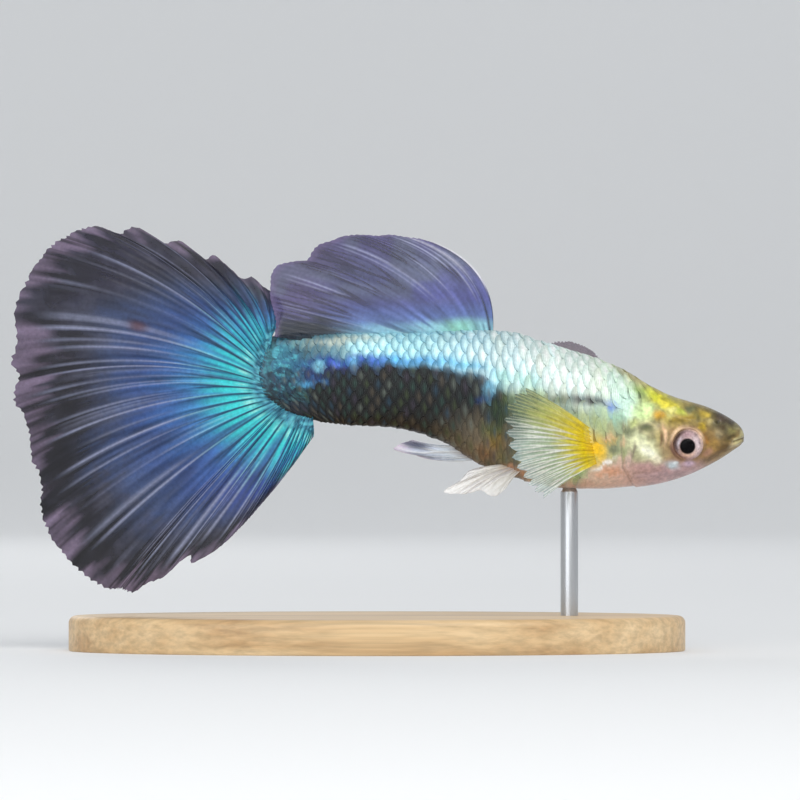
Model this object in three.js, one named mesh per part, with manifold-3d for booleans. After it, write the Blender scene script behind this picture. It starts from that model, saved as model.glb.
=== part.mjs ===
// A life-size model of a male fancy guppy, a small live-bearing aquarium fish with a fan tail, swimming above
// a plain display stand: a flat oval base and one thin rod up to the belly.
// Millimetres. +X is the way the fish faces, +Y its left side, +Z up. The origin is the centre of the base's
// underside. Heights in the fish's own tables are taken from its swimming axis, which SWIM_HEIGHT lifts.
import * as THREE from "three";
import { mergeVertices } from "three/addons/utils/BufferGeometryUtils.js";
import Module from "manifold-3d";

const wasm = await Module();
wasm.setup();

// Driving dimensions.
const GAP = 0.3; // kept between pieces that touch
const FIN_THICKNESS = 0.5;
const FIN_EDGE = 0.3; // thickness at the very edge of a fin
const BASE_LENGTH = 42;
const BASE_WIDTH = 21;
const BASE_THICKNESS = 2.4;
const BASE_CHAMFER = 0.5;
const TAIL_CLEARANCE = 1.6; // from the lowest tip of the tail to the base
const TAIL_DROP = 11.7; // from the swimming axis to the lowest tip of the tail
const ROD_RADIUS = 0.6;
const ROD_X = 13.1;
const SWIM_HEIGHT = BASE_THICKNESS + TAIL_CLEARANCE + TAIL_DROP;

const EYE = { x: 21.08, y: 1.72, z: -1.57, radius: 1.12, depth: 0.75 };

// The body's stations from the tail stem to the snout: x, height of the back, height of the belly, half width,
// height of the widest level, and how full the upper and lower halves of the section are (2 is an ellipse).
const STATIONS = [
  [-9.0, 5.3, 0.6, 0.42, 2.95, 2.0, 2.0],
  [-6.3, 5.52, -0.04, 0.62, 2.85, 2.0, 2.0],
  [-3.2, 5.65, -0.2, 0.98, 2.75, 2.0, 2.0],
  [1.0, 5.84, -0.42, 1.45, 2.6, 2.0, 2.0],
  [4.3, 5.97, -1.3, 1.85, 2.3, 2.0, 2.0],
  [7.0, 6.08, -2.93, 2.22, 1.6, 2.0, 2.0],
  [9.1, 5.95, -3.72, 2.48, 1.1, 2.1, 2.0],
  [11.1, 5.36, -4.3, 2.68, 0.6, 2.1, 2.1],
  [13.1, 4.75, -4.62, 2.8, 0.1, 2.2, 2.1],
  [15.2, 4.08, -4.66, 2.84, -0.4, 2.3, 2.1],
  [16.9, 3.34, -4.54, 2.76, -0.8, 2.4, 2.0],
  [18.6, 2.34, -4.33, 2.58, -1.1, 2.5, 2.0],
  [20.3, 1.58, -4.0, 2.32, -1.25, 2.6, 2.0],
  [21.3, 1.28, -3.68, 2.14, -1.3, 2.6, 2.0],
  [22.3, 0.98, -3.22, 1.88, -1.25, 2.6, 2.0],
  [23.4, 0.45, -2.6, 1.52, -1.15, 2.5, 2.1],
  [24.3, -0.12, -1.98, 1.1, -1.12, 2.4, 2.2],
  [24.75, -0.52, -1.66, 0.74, -1.12, 2.2, 2.2],
  [24.94, -0.84, -1.42, 0.4, -1.14, 2.0, 2.0],
  [25.0, -1.06, -1.24, 0.14, -1.15, 2.0, 2.0],
];
const COLUMN = { back: 1, belly: 2, halfWidth: 3, level: 4, backFullness: 5, bellyFullness: 6 };
const RING_POINTS = 32;

// The rear edge of the gill cover, where the head ends, from the nape to the throat.
const GILL_EDGE = [
  [18.1, 4.6],
  [17.6, 2.6],
  [16.95, 0.6],
  [16.6, -1.3],
  [16.75, -3.2],
  [17.6, -4.6],
  [18.2, -5.6],
];
const STEM_START_X = 0.7; // the tail stem runs back from here, behind the dorsal and anal fins

// Where the tail fin's rays leave the stem, from its top round its end to its underside.
const TAIL_ROOT = [
  [-7.25, 5.95],
  [-7.75, 4.75],
  [-8.05, 3.25],
  [-7.8, 1.7],
  [-6.6, 0.6],
  [-4.4, -0.3],
];
// The tail fin's edge, from its upper front corner round to its lower front corner.
const TAIL_EDGE = [
  [-7.55, 8.1],
  [-9.4, 9.8],
  [-11.8, 11.35],
  [-14.5, 12.5],
  [-17.0, 13.15],
  [-19.6, 13.1],
  [-22.35, 11.85],
  [-24.3, 8.85],
  [-24.75, 5.1],
  [-24.8, 1.3],
  [-23.9, -2.4],
  [-22.8, -6.1],
  [-21.3, -9.0],
  [-18.9, -11.05],
  [-16.7, -11.7],
  [-14.4, -10.8],
  [-10.4, -8.4],
  [-7.8, -5.65],
  [-5.75, -3.1],
  [-4.3, -1.0],
];
const TAIL_RAYS = 25;

const DORSAL_ROOT_X = [7.85, 1.35]; // its first and last rays on the back
const DORSAL_EDGE = [
  [3.8, 12.2],
  [1.4, 12.6],
  [-1.9, 12.65],
  [-4.6, 11.9],
  [-6.2, 10.6],
  [-6.85, 9.1],
  [-6.9, 7.6],
  [-6.6, 6.35],
];
const DORSAL_RAYS = 11;

const ANAL_ROOT_X = [5.7, 7.3];
const ANAL_EDGE = [
  [2.6, -1.35],
  [1.5, -1.55],
  [0.85, -1.95],
  [1.6, -2.2],
  [3.3, -2.6],
];
const ANAL_RAYS = 4;

const PELVIC_ROOT_X = [8.7, 9.8];
const PELVIC_SIDE = 0.95;
const PELVIC_SPLAY_DEG = 14;
const PELVIC_EDGE = [
  [6.5, -3.75],
  [5.7, -4.15],
  [4.55, -4.85],
  [6.1, -5.1],
  [7.7, -5.25],
  [8.8, -4.95],
];
const PELVIC_RAYS = 5;

// A breast fin's rays in its own plane, from the upper to the lower one: the length, and the angle above the
// fin's middle line in degrees. Its root is a short slanting line on the flank.
const BREAST_ROOT = { x: 15.25, top: -1.1, bottom: -2.9 };
const BREAST_RAY_LENGTHS = [6.6, 7.4, 7.5, 7.2, 6.7, 5.9, 5.2, 4.5];
const BREAST_FAN_DEG = [26, -30];
// How each breast fin stands: how far it swings out from the flank, and how far up.
const BREAST_RIGHT = { outDeg: 33, upDeg: 3 };
const BREAST_LEFT = { outDeg: 30, upDeg: 63.5 };

const NOSTRIL = { x: 23.15, z: -0.1, radius: 0.24 };
const MOUTH = { tip: [25.4, -1.16], corner: [23.75, -1.62], gape: 0.16 };
const LIP = { x: 24.02, z: -1.13, reach: 0.86, halfWidth: 1.0, radius: 0.2, drop: 0.36 };

// Joins and cuts closed meshes.
function orient(manifoldMesh) {
  const made = new wasm.Manifold(new wasm.Mesh(manifoldMesh));
  if (made.volume() > 0) return made;
  const turned = manifoldMesh.triVerts.slice();
  for (let i = 0; i < turned.length; i += 3) [turned[i + 1], turned[i + 2]] = [turned[i + 2], turned[i + 1]];
  return new wasm.Manifold(new wasm.Mesh({ ...manifoldMesh, triVerts: turned }));
}

function solidOf(geometry) {
  const bare = geometry.clone();
  bare.deleteAttribute("normal");
  bare.deleteAttribute("uv");
  const merged = mergeVertices(bare, 1e-4);
  return orient({
    numProp: 3,
    vertProperties: new Float32Array(merged.attributes.position.array),
    triVerts: new Uint32Array(merged.index.array),
  });
}

function solidOfLists(positions, index) {
  const geometry = new THREE.BufferGeometry();
  geometry.setAttribute("position", new THREE.Float32BufferAttribute(positions, 3));
  geometry.setIndex(index);
  return solidOf(geometry);
}

function largestBody(solid) {
  return solid.decompose().sort((a, b) => b.volume() - a.volume())[0];
}

function geometryOf(solid) {
  const mesh = solid.getMesh();
  const positions = [];
  for (let i = 0; i < mesh.numVert; i++) {
    for (let k = 0; k < 3; k++) positions.push(mesh.vertProperties[i * mesh.numProp + k]);
  }
  const geometry = new THREE.BufferGeometry();
  geometry.setAttribute("position", new THREE.Float32BufferAttribute(positions, 3));
  geometry.setIndex([...mesh.triVerts]);
  geometry.computeVertexNormals();
  return geometry;
}

// The value of one station column at x, on a smooth curve that never overshoots its stations.
function profile(name, x) {
  const column = COLUMN[name];
  const xs = STATIONS.map((s) => s[0]);
  const ys = STATIONS.map((s) => s[column]);
  const last = xs.length - 1;
  if (x <= xs[0]) return ys[0];
  if (x >= xs[last]) return ys[last];
  const slope = (i) => (ys[i + 1] - ys[i]) / (xs[i + 1] - xs[i]);
  const tangent = (i) => {
    if (i === 0) return slope(0);
    if (i === last) return slope(last - 1);
    const before = slope(i - 1);
    const after = slope(i);
    return before * after <= 0 ? 0 : (2 * before * after) / (before + after);
  };
  const i = xs.findIndex((edge, k) => k < last && x < xs[k + 1]);
  const width = xs[i + 1] - xs[i];
  const t = (x - xs[i]) / width;
  return (
    ys[i] * (1 + 2 * t) * (1 - t) ** 2 +
    tangent(i) * width * t * (1 - t) ** 2 +
    ys[i + 1] * t * t * (3 - 2 * t) +
    tangent(i + 1) * width * t * t * (t - 1)
  );
}

// The swelling of the gill covers and cheeks, added to the section's width.
const CHEEK = { x: 18.4, z: -1.9, lengthX: 1.7, lengthZ: 1.6, rise: 0.16 };
function cheekRise(x, z) {
  const d = ((x - CHEEK.x) / CHEEK.lengthX) ** 2 + ((z - CHEEK.z) / CHEEK.lengthZ) ** 2;
  return CHEEK.rise * Math.exp(-d * d);
}

// A point of the skin at x, turned by angle from the fish's left side over its back, grown outward by grow.
function skinPoint(x, angle, grow = 0) {
  const sine = Math.sin(angle);
  const cosine = Math.cos(angle);
  const upper = sine >= 0;
  const level = profile("level", x);
  const reach = upper ? profile("back", x) - level : level - profile("belly", x);
  const power = 2 / profile(upper ? "backFullness" : "bellyFullness", x);
  const z = level + Math.sign(sine) * (reach + grow) * Math.abs(sine) ** power;
  const halfWidth = profile("halfWidth", x) + grow + cheekRise(x, z);
  return new THREE.Vector3(x, Math.sign(cosine) * halfWidth * Math.abs(cosine) ** power, z);
}

// Half the body's width at x and height z.
function flankAt(x, z) {
  const level = profile("level", x);
  const upper = z >= level;
  const reach = upper ? profile("back", x) - level : level - profile("belly", x);
  const fullness = profile(upper ? "backFullness" : "bellyFullness", x);
  const share = Math.min(1, Math.abs(z - level) / reach);
  return (profile("halfWidth", x) + cheekRise(x, z)) * (1 - share ** fullness) ** (1 / fullness);
}

// The whole body as one closed solid, grown outward by grow.
function bodySolid(grow = 0) {
  const xs = [];
  const [tailX, snoutX] = [STATIONS[0][0], STATIONS[STATIONS.length - 1][0]];
  for (let x = tailX; x < 16.4; x += 0.85) xs.push(x);
  for (let x = 16.4; x < 24.2; x += 0.45) xs.push(x);
  xs.push(24.3, 24.55, 24.75, 24.87, 24.94, snoutX);
  const positions = [];
  const index = [];
  const stretched = (x) => (x === snoutX ? x + grow : x);
  for (const x of xs) {
    for (let k = 0; k < RING_POINTS; k++) {
      const p = skinPoint(x, (2 * Math.PI * k) / RING_POINTS, grow);
      positions.push(stretched(x), p.y, p.z);
    }
  }
  for (let i = 0; i + 1 < xs.length; i++) {
    for (let k = 0; k < RING_POINTS; k++) {
      const next = (k + 1) % RING_POINTS;
      const [a, b] = [i * RING_POINTS + k, i * RING_POINTS + next];
      const [c, d] = [a + RING_POINTS, b + RING_POINTS];
      index.push(a, b, d, a, d, c);
    }
  }
  for (const [ring, turn] of [[0, 1], [xs.length - 1, -1]]) {
    const centre = positions.length / 3;
    positions.push(stretched(xs[ring]), 0, profile("level", xs[ring]));
    for (let k = 0; k < RING_POINTS; k++) {
      const [a, b] = [ring * RING_POINTS + k, ring * RING_POINTS + ((k + 1) % RING_POINTS)];
      index.push(...(turn > 0 ? [centre, b, a] : [centre, a, b]));
    }
  }
  return solidOfLists(positions, index);
}

// A slab as wide as needed across the fish, with this outline in the x and z plane.
const SLAB_HALF = 12;
function slab(outline) {
  const shape = new THREE.Shape(outline.map(([x, z]) => new THREE.Vector2(x, z)));
  const geometry = new THREE.ExtrudeGeometry(shape, { depth: 2 * SLAB_HALF, bevelEnabled: false });
  geometry.rotateX(Math.PI / 2);
  geometry.translate(0, SLAB_HALF, 0);
  return solidOf(geometry);
}

function curve2(points) {
  return new THREE.SplineCurve(points.map(([x, z]) => new THREE.Vector2(x, z)));
}

function pointsAlong(points, count) {
  return curve2(points).getSpacedPoints(count).map((p) => [p.x, p.y]);
}

// A fin: rays that fan from a root line to an edge line, each a ridge on both faces of one thin sheet.
// root and edge give a point for t from 0 to 1 across the rays, bend how far a ray bows as a share of its
// length, side the way across the sheet, and wave how far the sheet leaves its plane at (u, t).
// Across one ray, in shares of the spacing: the valley before it, its flank, its crest and its other flank, and
// how high the ridge is there.
const RAY_SECTION = [
  { offset: -0.5, height: 0 },
  { offset: -0.22, height: 0.3 },
  { offset: 0, height: 1 },
  { offset: 0.22, height: 0.3 },
];
const VALLEY = 0.5;
function finSolid({ rays, root, edge, bend, side, wave, steps, ridge, notch, thickness = FIN_THICKNESS }) {
  // the first and last rays keep only their inner half, so the sheet ends on a ray at both edges
  const lines = [];
  for (let ray = 0; ray < rays; ray++) {
    for (const { offset, height } of RAY_SECTION) lines.push({ place: ray + offset, away: Math.abs(offset), height });
  }
  const sheetLines = lines.filter(({ place }) => place >= 0 && place <= rays - 1);
  const positions = [];
  const index = [];
  const columns = sheetLines.length;
  const at = (face, i, j) => (face * (steps + 1) + i) * columns + j;
  for (const sign of [1, -1]) {
    for (let i = 0; i <= steps; i++) {
      for (const { place, away, height } of sheetLines) {
        const t = place / (rays - 1);
        const u = i / steps;
        const from = root(t);
        const to = edge(t).sub(from).multiplyScalar(1 - notch * (away / VALLEY)).add(from);
        const along = to.clone().sub(from);
        const bow = new THREE.Vector3().crossVectors(side, along).multiplyScalar(2 * bend(t));
        const control = from.clone().add(to).multiplyScalar(0.5).add(bow);
        const point = new THREE.QuadraticBezierCurve3(from, control, to).getPoint(u);
        const taper = THREE.MathUtils.smoothstep(u, 0.72, 1);
        const sheet = THREE.MathUtils.lerp(thickness, FIN_EDGE, taper);
        const half = sheet / 2 + ridge * height * (1 - 0.75 * u);
        point.addScaledVector(side, sign * half + wave(u, t));
        positions.push(point.x, point.y, point.z);
      }
    }
  }
  for (let i = 0; i < steps; i++) {
    for (let j = 0; j + 1 < columns; j++) {
      const [a, b, c, d] = [[i, j], [i, j + 1], [i + 1, j + 1], [i + 1, j]];
      index.push(at(0, ...a), at(0, ...b), at(0, ...c), at(0, ...a), at(0, ...c), at(0, ...d));
      index.push(at(1, ...a), at(1, ...c), at(1, ...b), at(1, ...a), at(1, ...d), at(1, ...c));
    }
  }
  const border = [];
  for (let j = 0; j + 1 < columns; j++) border.push([0, j]);
  for (let i = 0; i < steps; i++) border.push([i, columns - 1]);
  for (let j = columns - 1; j > 0; j--) border.push([steps, j]);
  for (let i = steps; i > 0; i--) border.push([i, 0]);
  border.forEach((here, k) => {
    const next = border[(k + 1) % border.length];
    index.push(at(0, ...here), at(1, ...here), at(1, ...next), at(0, ...here), at(1, ...next), at(0, ...next));
  });
  return solidOfLists(positions, index);
}

const ACROSS = new THREE.Vector3(0, 1, 0);
const inPlane = (points, y = 0) => {
  const line = curve2(points);
  return (t) => {
    const p = line.getPointAt(THREE.MathUtils.clamp(t, 0, 1));
    return new THREE.Vector3(p.x, y, p.y);
  };
};
const between = ([first, last], t) => first + (last - first) * t;

// The materials, by the part's colours.
const finish = (color, roughness, metalness = 0) => new THREE.MeshStandardMaterial({ color, roughness, metalness });
const MATERIAL = {
  head: finish(0xb3a24c, 0.35, 0.2),
  trunk: finish(0xa9cfcb, 0.3, 0.4),
  stem: finish(0x20302f, 0.35, 0.3),
  tailFin: finish(0x3b6f8f, 0.45),
  clearFin: finish(0x8a8fae, 0.45),
  breastFin: finish(0xd9c46a, 0.45),
  whiteFin: finish(0xe9ece2, 0.45),
  eye: finish(0xd8c6b8, 0.1),
  base: finish(0xc9a877, 0.5),
  rod: finish(0xb9bcbf, 0.3, 1),
};

const fish = new THREE.Group();
fish.name = "guppy";
fish.position.z = SWIM_HEIGHT;
const stand = new THREE.Group();
stand.name = "stand";

function addNode(group, name, solid, material) {
  const mesh = new THREE.Mesh(geometryOf(largestBody(solid)), material);
  mesh.name = name;
  group.add(mesh);
}

// The body: one closed form, parted by thin cuts behind the gill covers and behind the dorsal fin.
const body = bodySolid();
const clearOfBody = bodySolid(GAP);
const gillEdge = pointsAlong(GILL_EDGE, 14);
const shifted = (points, dx) => points.map(([x, z]) => [x + dx, z]);
const FAR = { front: 30, back: -14, top: 10, bottom: -8 };
const aheadOf = (line) => slab([...line, [FAR.front, FAR.bottom], [FAR.front, FAR.top]]);

// The head, with its eye sockets, nostrils, mouth and lips.
function ellipsoid(radii, centre, around, upward) {
  const geometry = new THREE.SphereGeometry(1, around, upward);
  geometry.rotateX(Math.PI / 2);
  geometry.scale(...radii);
  geometry.translate(...centre);
  return solidOf(geometry);
}

function lip(drop) {
  const points = [];
  for (let step = -5; step <= 5; step++) {
    const angle = (step / 5) * THREE.MathUtils.degToRad(74);
    points.push(
      new THREE.Vector3(
        LIP.x + LIP.reach * Math.cos(angle),
        LIP.halfWidth * Math.sin(angle),
        LIP.z - drop - 0.3 * (1 - Math.cos(angle)),
      ),
    );
  }
  const section = new THREE.Shape().absarc(0, 0, LIP.radius, 0, 2 * Math.PI);
  const extrudePath = new THREE.CatmullRomCurve3(points);
  return solidOf(new THREE.ExtrudeGeometry(section, { steps: 12, curveSegments: 4, extrudePath }));
}

function headSolid() {
  let head = body.intersect(aheadOf(shifted(gillEdge, GAP / 2)));
  head = head.add(lip(0)).add(lip(LIP.drop));
  const [tip, corner] = [MOUTH.tip, MOUTH.corner];
  head = head.subtract(slab([[tip[0], tip[1] + MOUTH.gape], corner, [tip[0], tip[1] - MOUTH.gape]]));
  for (const sign of [-1, 1]) {
    const socket = [EYE.radius + GAP, EYE.depth + GAP, EYE.radius + GAP];
    head = head.subtract(ellipsoid(socket, [EYE.x, sign * EYE.y, EYE.z], 20, 12));
    const pit = [NOSTRIL.radius, NOSTRIL.radius, NOSTRIL.radius];
    const side = flankAt(NOSTRIL.x, NOSTRIL.z);
    head = head.subtract(ellipsoid(pit, [NOSTRIL.x, sign * side, NOSTRIL.z], 8, 6));
  }
  return head;
}
addNode(fish, "head", headSolid(), MATERIAL.head);
for (const [name, sign] of [["eye_right", -1], ["eye_left", 1]]) {
  const ball = ellipsoid([EYE.radius, EYE.depth, EYE.radius], [EYE.x, sign * EYE.y, EYE.z], 18, 12);
  addNode(fish, name, ball, MATERIAL.eye);
}

// The trunk and the tail stem, whose end is rounded where the tail fin's rays leave it.
const stemLine = (dx) => [[STEM_START_X + dx, FAR.top], [STEM_START_X + dx, FAR.bottom]];
const behindGills = slab([...shifted(gillEdge, -GAP / 2), [FAR.back, FAR.bottom], [FAR.back, FAR.top]]);
addNode(fish, "trunk", body.intersect(behindGills).intersect(aheadOf(stemLine(GAP / 2))), MATERIAL.trunk);
const stemEnd = pointsAlong(TAIL_ROOT, 16);
const stemSlab = slab([...stemEnd, [STEM_START_X - GAP / 2, FAR.bottom], [STEM_START_X - GAP / 2, FAR.top]]);
addNode(fish, "tail_stem", body.intersect(stemSlab), MATERIAL.stem);

// The tail fin stands off the stem's rounded end by the gap.
function tailFinSolid() {
  const rootLine = curve2(TAIL_ROOT);
  const root = (t) => {
    const place = THREE.MathUtils.clamp(t, 0, 1);
    const p = rootLine.getPointAt(place);
    const along = rootLine.getTangentAt(place);
    return new THREE.Vector3(p.x + along.y * GAP, 0, p.y - along.x * GAP);
  };
  return finSolid({
    rays: TAIL_RAYS,
    root,
    edge: inPlane(TAIL_EDGE),
    bend: (t) => 0.075 - 0.125 * THREE.MathUtils.smoothstep(t, 0.45, 1),
    side: ACROSS,
    wave: (u, t) => 0.75 * u ** 1.6 * Math.sin(2 * Math.PI * (1.6 * t + 0.15)),
    steps: 8,
    ridge: 0.14,
    notch: 0.035,
  });
}
addNode(fish, "tail_fin", tailFinSolid(), MATERIAL.tailFin);

// The dorsal fin is a swept fan from the back; the far end of its edge bends to the right of the tail fin.
function dorsalFinSolid() {
  const fin = finSolid({
    rays: DORSAL_RAYS,
    root: (t) => {
      const x = between(DORSAL_ROOT_X, t);
      return new THREE.Vector3(x, 0, profile("back", x) - 0.3);
    },
    edge: inPlane(DORSAL_EDGE),
    bend: (t) => 0.2 - 0.17 * t,
    side: ACROSS,
    wave: (u, t) => -0.55 * u * u + 0.3 * u * u * Math.sin(2 * Math.PI * (1.2 * t + 0.3)),
    steps: 8,
    ridge: 0.12,
    notch: 0.03,
  });
  return fin.subtract(clearOfBody);
}
addNode(fish, "dorsal_fin", dorsalFinSolid(), MATERIAL.clearFin);

// The anal fin of a male is a slender rod of a few rays that points back.
function analFinSolid() {
  const fin = finSolid({
    rays: ANAL_RAYS,
    root: (t) => {
      const x = between(ANAL_ROOT_X, t);
      return new THREE.Vector3(x, 0, profile("belly", x) + 0.3);
    },
    edge: inPlane(ANAL_EDGE),
    bend: () => -0.05,
    side: ACROSS,
    wave: () => 0,
    steps: 6,
    ridge: 0.1,
    notch: 0.03,
  });
  return fin.subtract(clearOfBody);
}
addNode(fish, "anal_fin", analFinSolid(), MATERIAL.whiteFin);

// The two pelvic fins hang side by side under the belly, each a small fan with one drawn-out ray.
function pelvicFinSolid(sign) {
  const splay = Math.tan(THREE.MathUtils.degToRad(PELVIC_SPLAY_DEG));
  const side = new THREE.Vector3(splay, sign, 0).normalize();
  const line = inPlane(PELVIC_EDGE);
  const fin = finSolid({
    rays: PELVIC_RAYS,
    root: (t) => {
      const x = between(PELVIC_ROOT_X, t);
      return new THREE.Vector3(x, sign * PELVIC_SIDE, profile("belly", x) + 0.5);
    },
    edge: (t) => {
      const p = line(t);
      p.y = sign * (PELVIC_SIDE + splay * (PELVIC_ROOT_X[1] - p.x));
      return p;
    },
    bend: () => 0.04 * sign,
    side,
    wave: () => 0,
    steps: 5,
    ridge: 0.09,
    notch: 0.05,
  });
  return fin.subtract(clearOfBody);
}
addNode(fish, "pelvic_fin_right", pelvicFinSolid(-1), MATERIAL.whiteFin);
addNode(fish, "pelvic_fin_left", pelvicFinSolid(1), MATERIAL.whiteFin);

// The breast fins: the right one trails back and out, the left one is raised beside the back.
function breastFinSolid(sign, { outDeg, upDeg }) {
  const [out, up] = [THREE.MathUtils.degToRad(outDeg), THREE.MathUtils.degToRad(upDeg)];
  // the middle line points back, then swings up, then out from the flank
  const middle = new THREE.Vector3(-Math.cos(up) * Math.cos(out), sign * Math.sin(out), Math.sin(up) * Math.cos(out));
  const upward = new THREE.Vector3(Math.sin(up), 0, Math.cos(up));
  const side = new THREE.Vector3().crossVectors(upward, middle).normalize();
  const inner = 0.45;
  const root = (t) => {
    const z = THREE.MathUtils.lerp(BREAST_ROOT.top, BREAST_ROOT.bottom, t);
    return new THREE.Vector3(BREAST_ROOT.x, sign * (flankAt(BREAST_ROOT.x, z) - inner), z);
  };
  const last = BREAST_RAY_LENGTHS.length - 1;
  const edge = (t) => {
    const place = THREE.MathUtils.clamp(t, 0, 1) * last;
    const before = Math.min(Math.floor(place), last - 1);
    const [a, b] = [BREAST_RAY_LENGTHS[before], BREAST_RAY_LENGTHS[before + 1]];
    const length = inner + THREE.MathUtils.lerp(a, b, place - before);
    const angle = THREE.MathUtils.degToRad(between(BREAST_FAN_DEG, t));
    return root(t)
      .addScaledVector(middle, length * Math.cos(angle))
      .addScaledVector(upward, length * Math.sin(angle));
  };
  const fin = finSolid({
    rays: BREAST_RAY_LENGTHS.length,
    root,
    edge,
    bend: () => 0.03 * sign,
    side,
    wave: (u, t) => -0.25 * u * u * Math.cos(2 * Math.PI * t),
    steps: 6,
    ridge: 0.1,
    notch: 0.04,
  });
  return fin.subtract(clearOfBody);
}
addNode(fish, "breast_fin_right", breastFinSolid(-1, BREAST_RIGHT), MATERIAL.breastFin);
addNode(fish, "breast_fin_left", breastFinSolid(1, BREAST_LEFT), MATERIAL.breastFin);

// The stand: an oval base with a softened top edge, and a rod from it to the belly.
function baseSolid() {
  const oval = new THREE.Shape().absellipse(
    0,
    0,
    BASE_LENGTH / 2 - BASE_CHAMFER,
    BASE_WIDTH / 2 - BASE_CHAMFER,
    0,
    2 * Math.PI,
  );
  const geometry = new THREE.ExtrudeGeometry(oval, {
    depth: BASE_THICKNESS - BASE_CHAMFER,
    curveSegments: 24,
    bevelThickness: BASE_CHAMFER,
    bevelSize: BASE_CHAMFER,
    bevelSegments: 3,
  });
  // the bevel below the floor is cut away, so the foot is flat
  const floorCut = new THREE.BoxGeometry(2 * BASE_LENGTH, 2 * BASE_LENGTH, BASE_LENGTH);
  floorCut.translate(0, 0, -BASE_LENGTH / 2);
  return solidOf(geometry).subtract(solidOf(floorCut));
}
addNode(stand, "stand_base", baseSolid(), MATERIAL.base);

function rodSolid() {
  const bottom = BASE_THICKNESS + GAP;
  const top = SWIM_HEIGHT + profile("belly", ROD_X) + 1;
  const geometry = new THREE.CylinderGeometry(ROD_RADIUS, ROD_RADIUS, top - bottom, 16);
  geometry.rotateX(Math.PI / 2);
  geometry.translate(ROD_X, 0, (top + bottom) / 2);
  return solidOf(geometry).subtract(clearOfBody.translate([0, 0, SWIM_HEIGHT]));
}
addNode(stand, "stand_rod", rodSolid(), MATERIAL.rod);

const model = new THREE.Group();
model.name = "fancy_guppy_model";
model.add(fish, stand);

export default model;
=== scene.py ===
"""The looks of a life-size male fancy guppy on a plain display stand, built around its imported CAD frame.

Sizes are in millimetres in the fish's own frame: +X is the way it faces, +Y its left side, +Z up, and z is 0 on its
swimming axis. place() lifts them to the frame's height and turns them into metres.
"""

import math

import bpy
import numpy as np
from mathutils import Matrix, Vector


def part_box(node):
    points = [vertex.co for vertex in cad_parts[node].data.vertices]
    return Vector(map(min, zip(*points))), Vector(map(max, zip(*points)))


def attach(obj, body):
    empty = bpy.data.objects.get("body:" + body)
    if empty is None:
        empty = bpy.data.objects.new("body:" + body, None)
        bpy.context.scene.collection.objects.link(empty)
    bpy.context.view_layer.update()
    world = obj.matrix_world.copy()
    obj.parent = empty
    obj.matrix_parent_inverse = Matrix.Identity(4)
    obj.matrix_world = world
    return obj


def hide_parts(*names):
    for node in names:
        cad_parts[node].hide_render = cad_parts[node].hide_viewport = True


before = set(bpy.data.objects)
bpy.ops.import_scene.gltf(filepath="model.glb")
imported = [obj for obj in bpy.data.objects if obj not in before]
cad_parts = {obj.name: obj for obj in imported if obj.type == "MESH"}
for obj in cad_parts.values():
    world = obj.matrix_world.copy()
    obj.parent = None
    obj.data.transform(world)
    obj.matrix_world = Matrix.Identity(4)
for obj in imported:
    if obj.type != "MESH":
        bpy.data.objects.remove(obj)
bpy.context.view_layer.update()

MM = 0.001
SEED = 7

# The eye sets the fish's height in the frame.
EYE = {"x": 21.08, "y": 1.72, "z": -1.57, "radius": 1.12, "depth": 0.75}
EYE_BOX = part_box("eye_right")
SWIM_HEIGHT = (EYE_BOX[0].z + EYE_BOX[1].z) / 2 / MM - EYE["z"]


# Small helpers for numbers and colours.
def smooth(value, low, high):
    share = np.clip((value - low) / (high - low), 0, 1)
    return share * share * (3 - 2 * share)


def lerp(a, b, share):
    return a + (b - a) * share


def bump_at(value, centre, width):
    return np.exp(-(((value - centre) / width) ** 2))


def value_noise(x, y, seed):
    """Smooth noise from 0 to 1, with features one unit across."""
    x0, y0 = np.floor(x), np.floor(y)
    across, up = smooth(x - x0, 0, 1), smooth(y - y0, 0, 1)

    def corner(i, j):
        turn = np.sin((x0 + i) * 127.1 + (y0 + j) * 311.7 + seed * 74.7) * 43758.5453
        return turn - np.floor(turn)

    return lerp(lerp(corner(0, 0), corner(1, 0), across), lerp(corner(0, 1), corner(1, 1), across), up)


def rgb(red, green, blue):
    """A screen colour from 0 to 255 as linear light."""
    screen = np.array([red, green, blue]) / 255
    return np.where(screen <= 0.04045, screen / 12.92, ((screen + 0.055) / 1.055) ** 2.4)


def mix(base, colour, weight):
    return base + (np.asarray(colour) - base) * np.asarray(weight)[..., None]


def ramp(value, stops):
    """The colour at value on a row of (place, colour) stops."""
    places = [place for place, _ in stops]
    colours = np.array([colour for _, colour in stops])
    return np.stack([np.interp(value, places, colours[:, k]) for k in range(3)], axis=-1)


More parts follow.
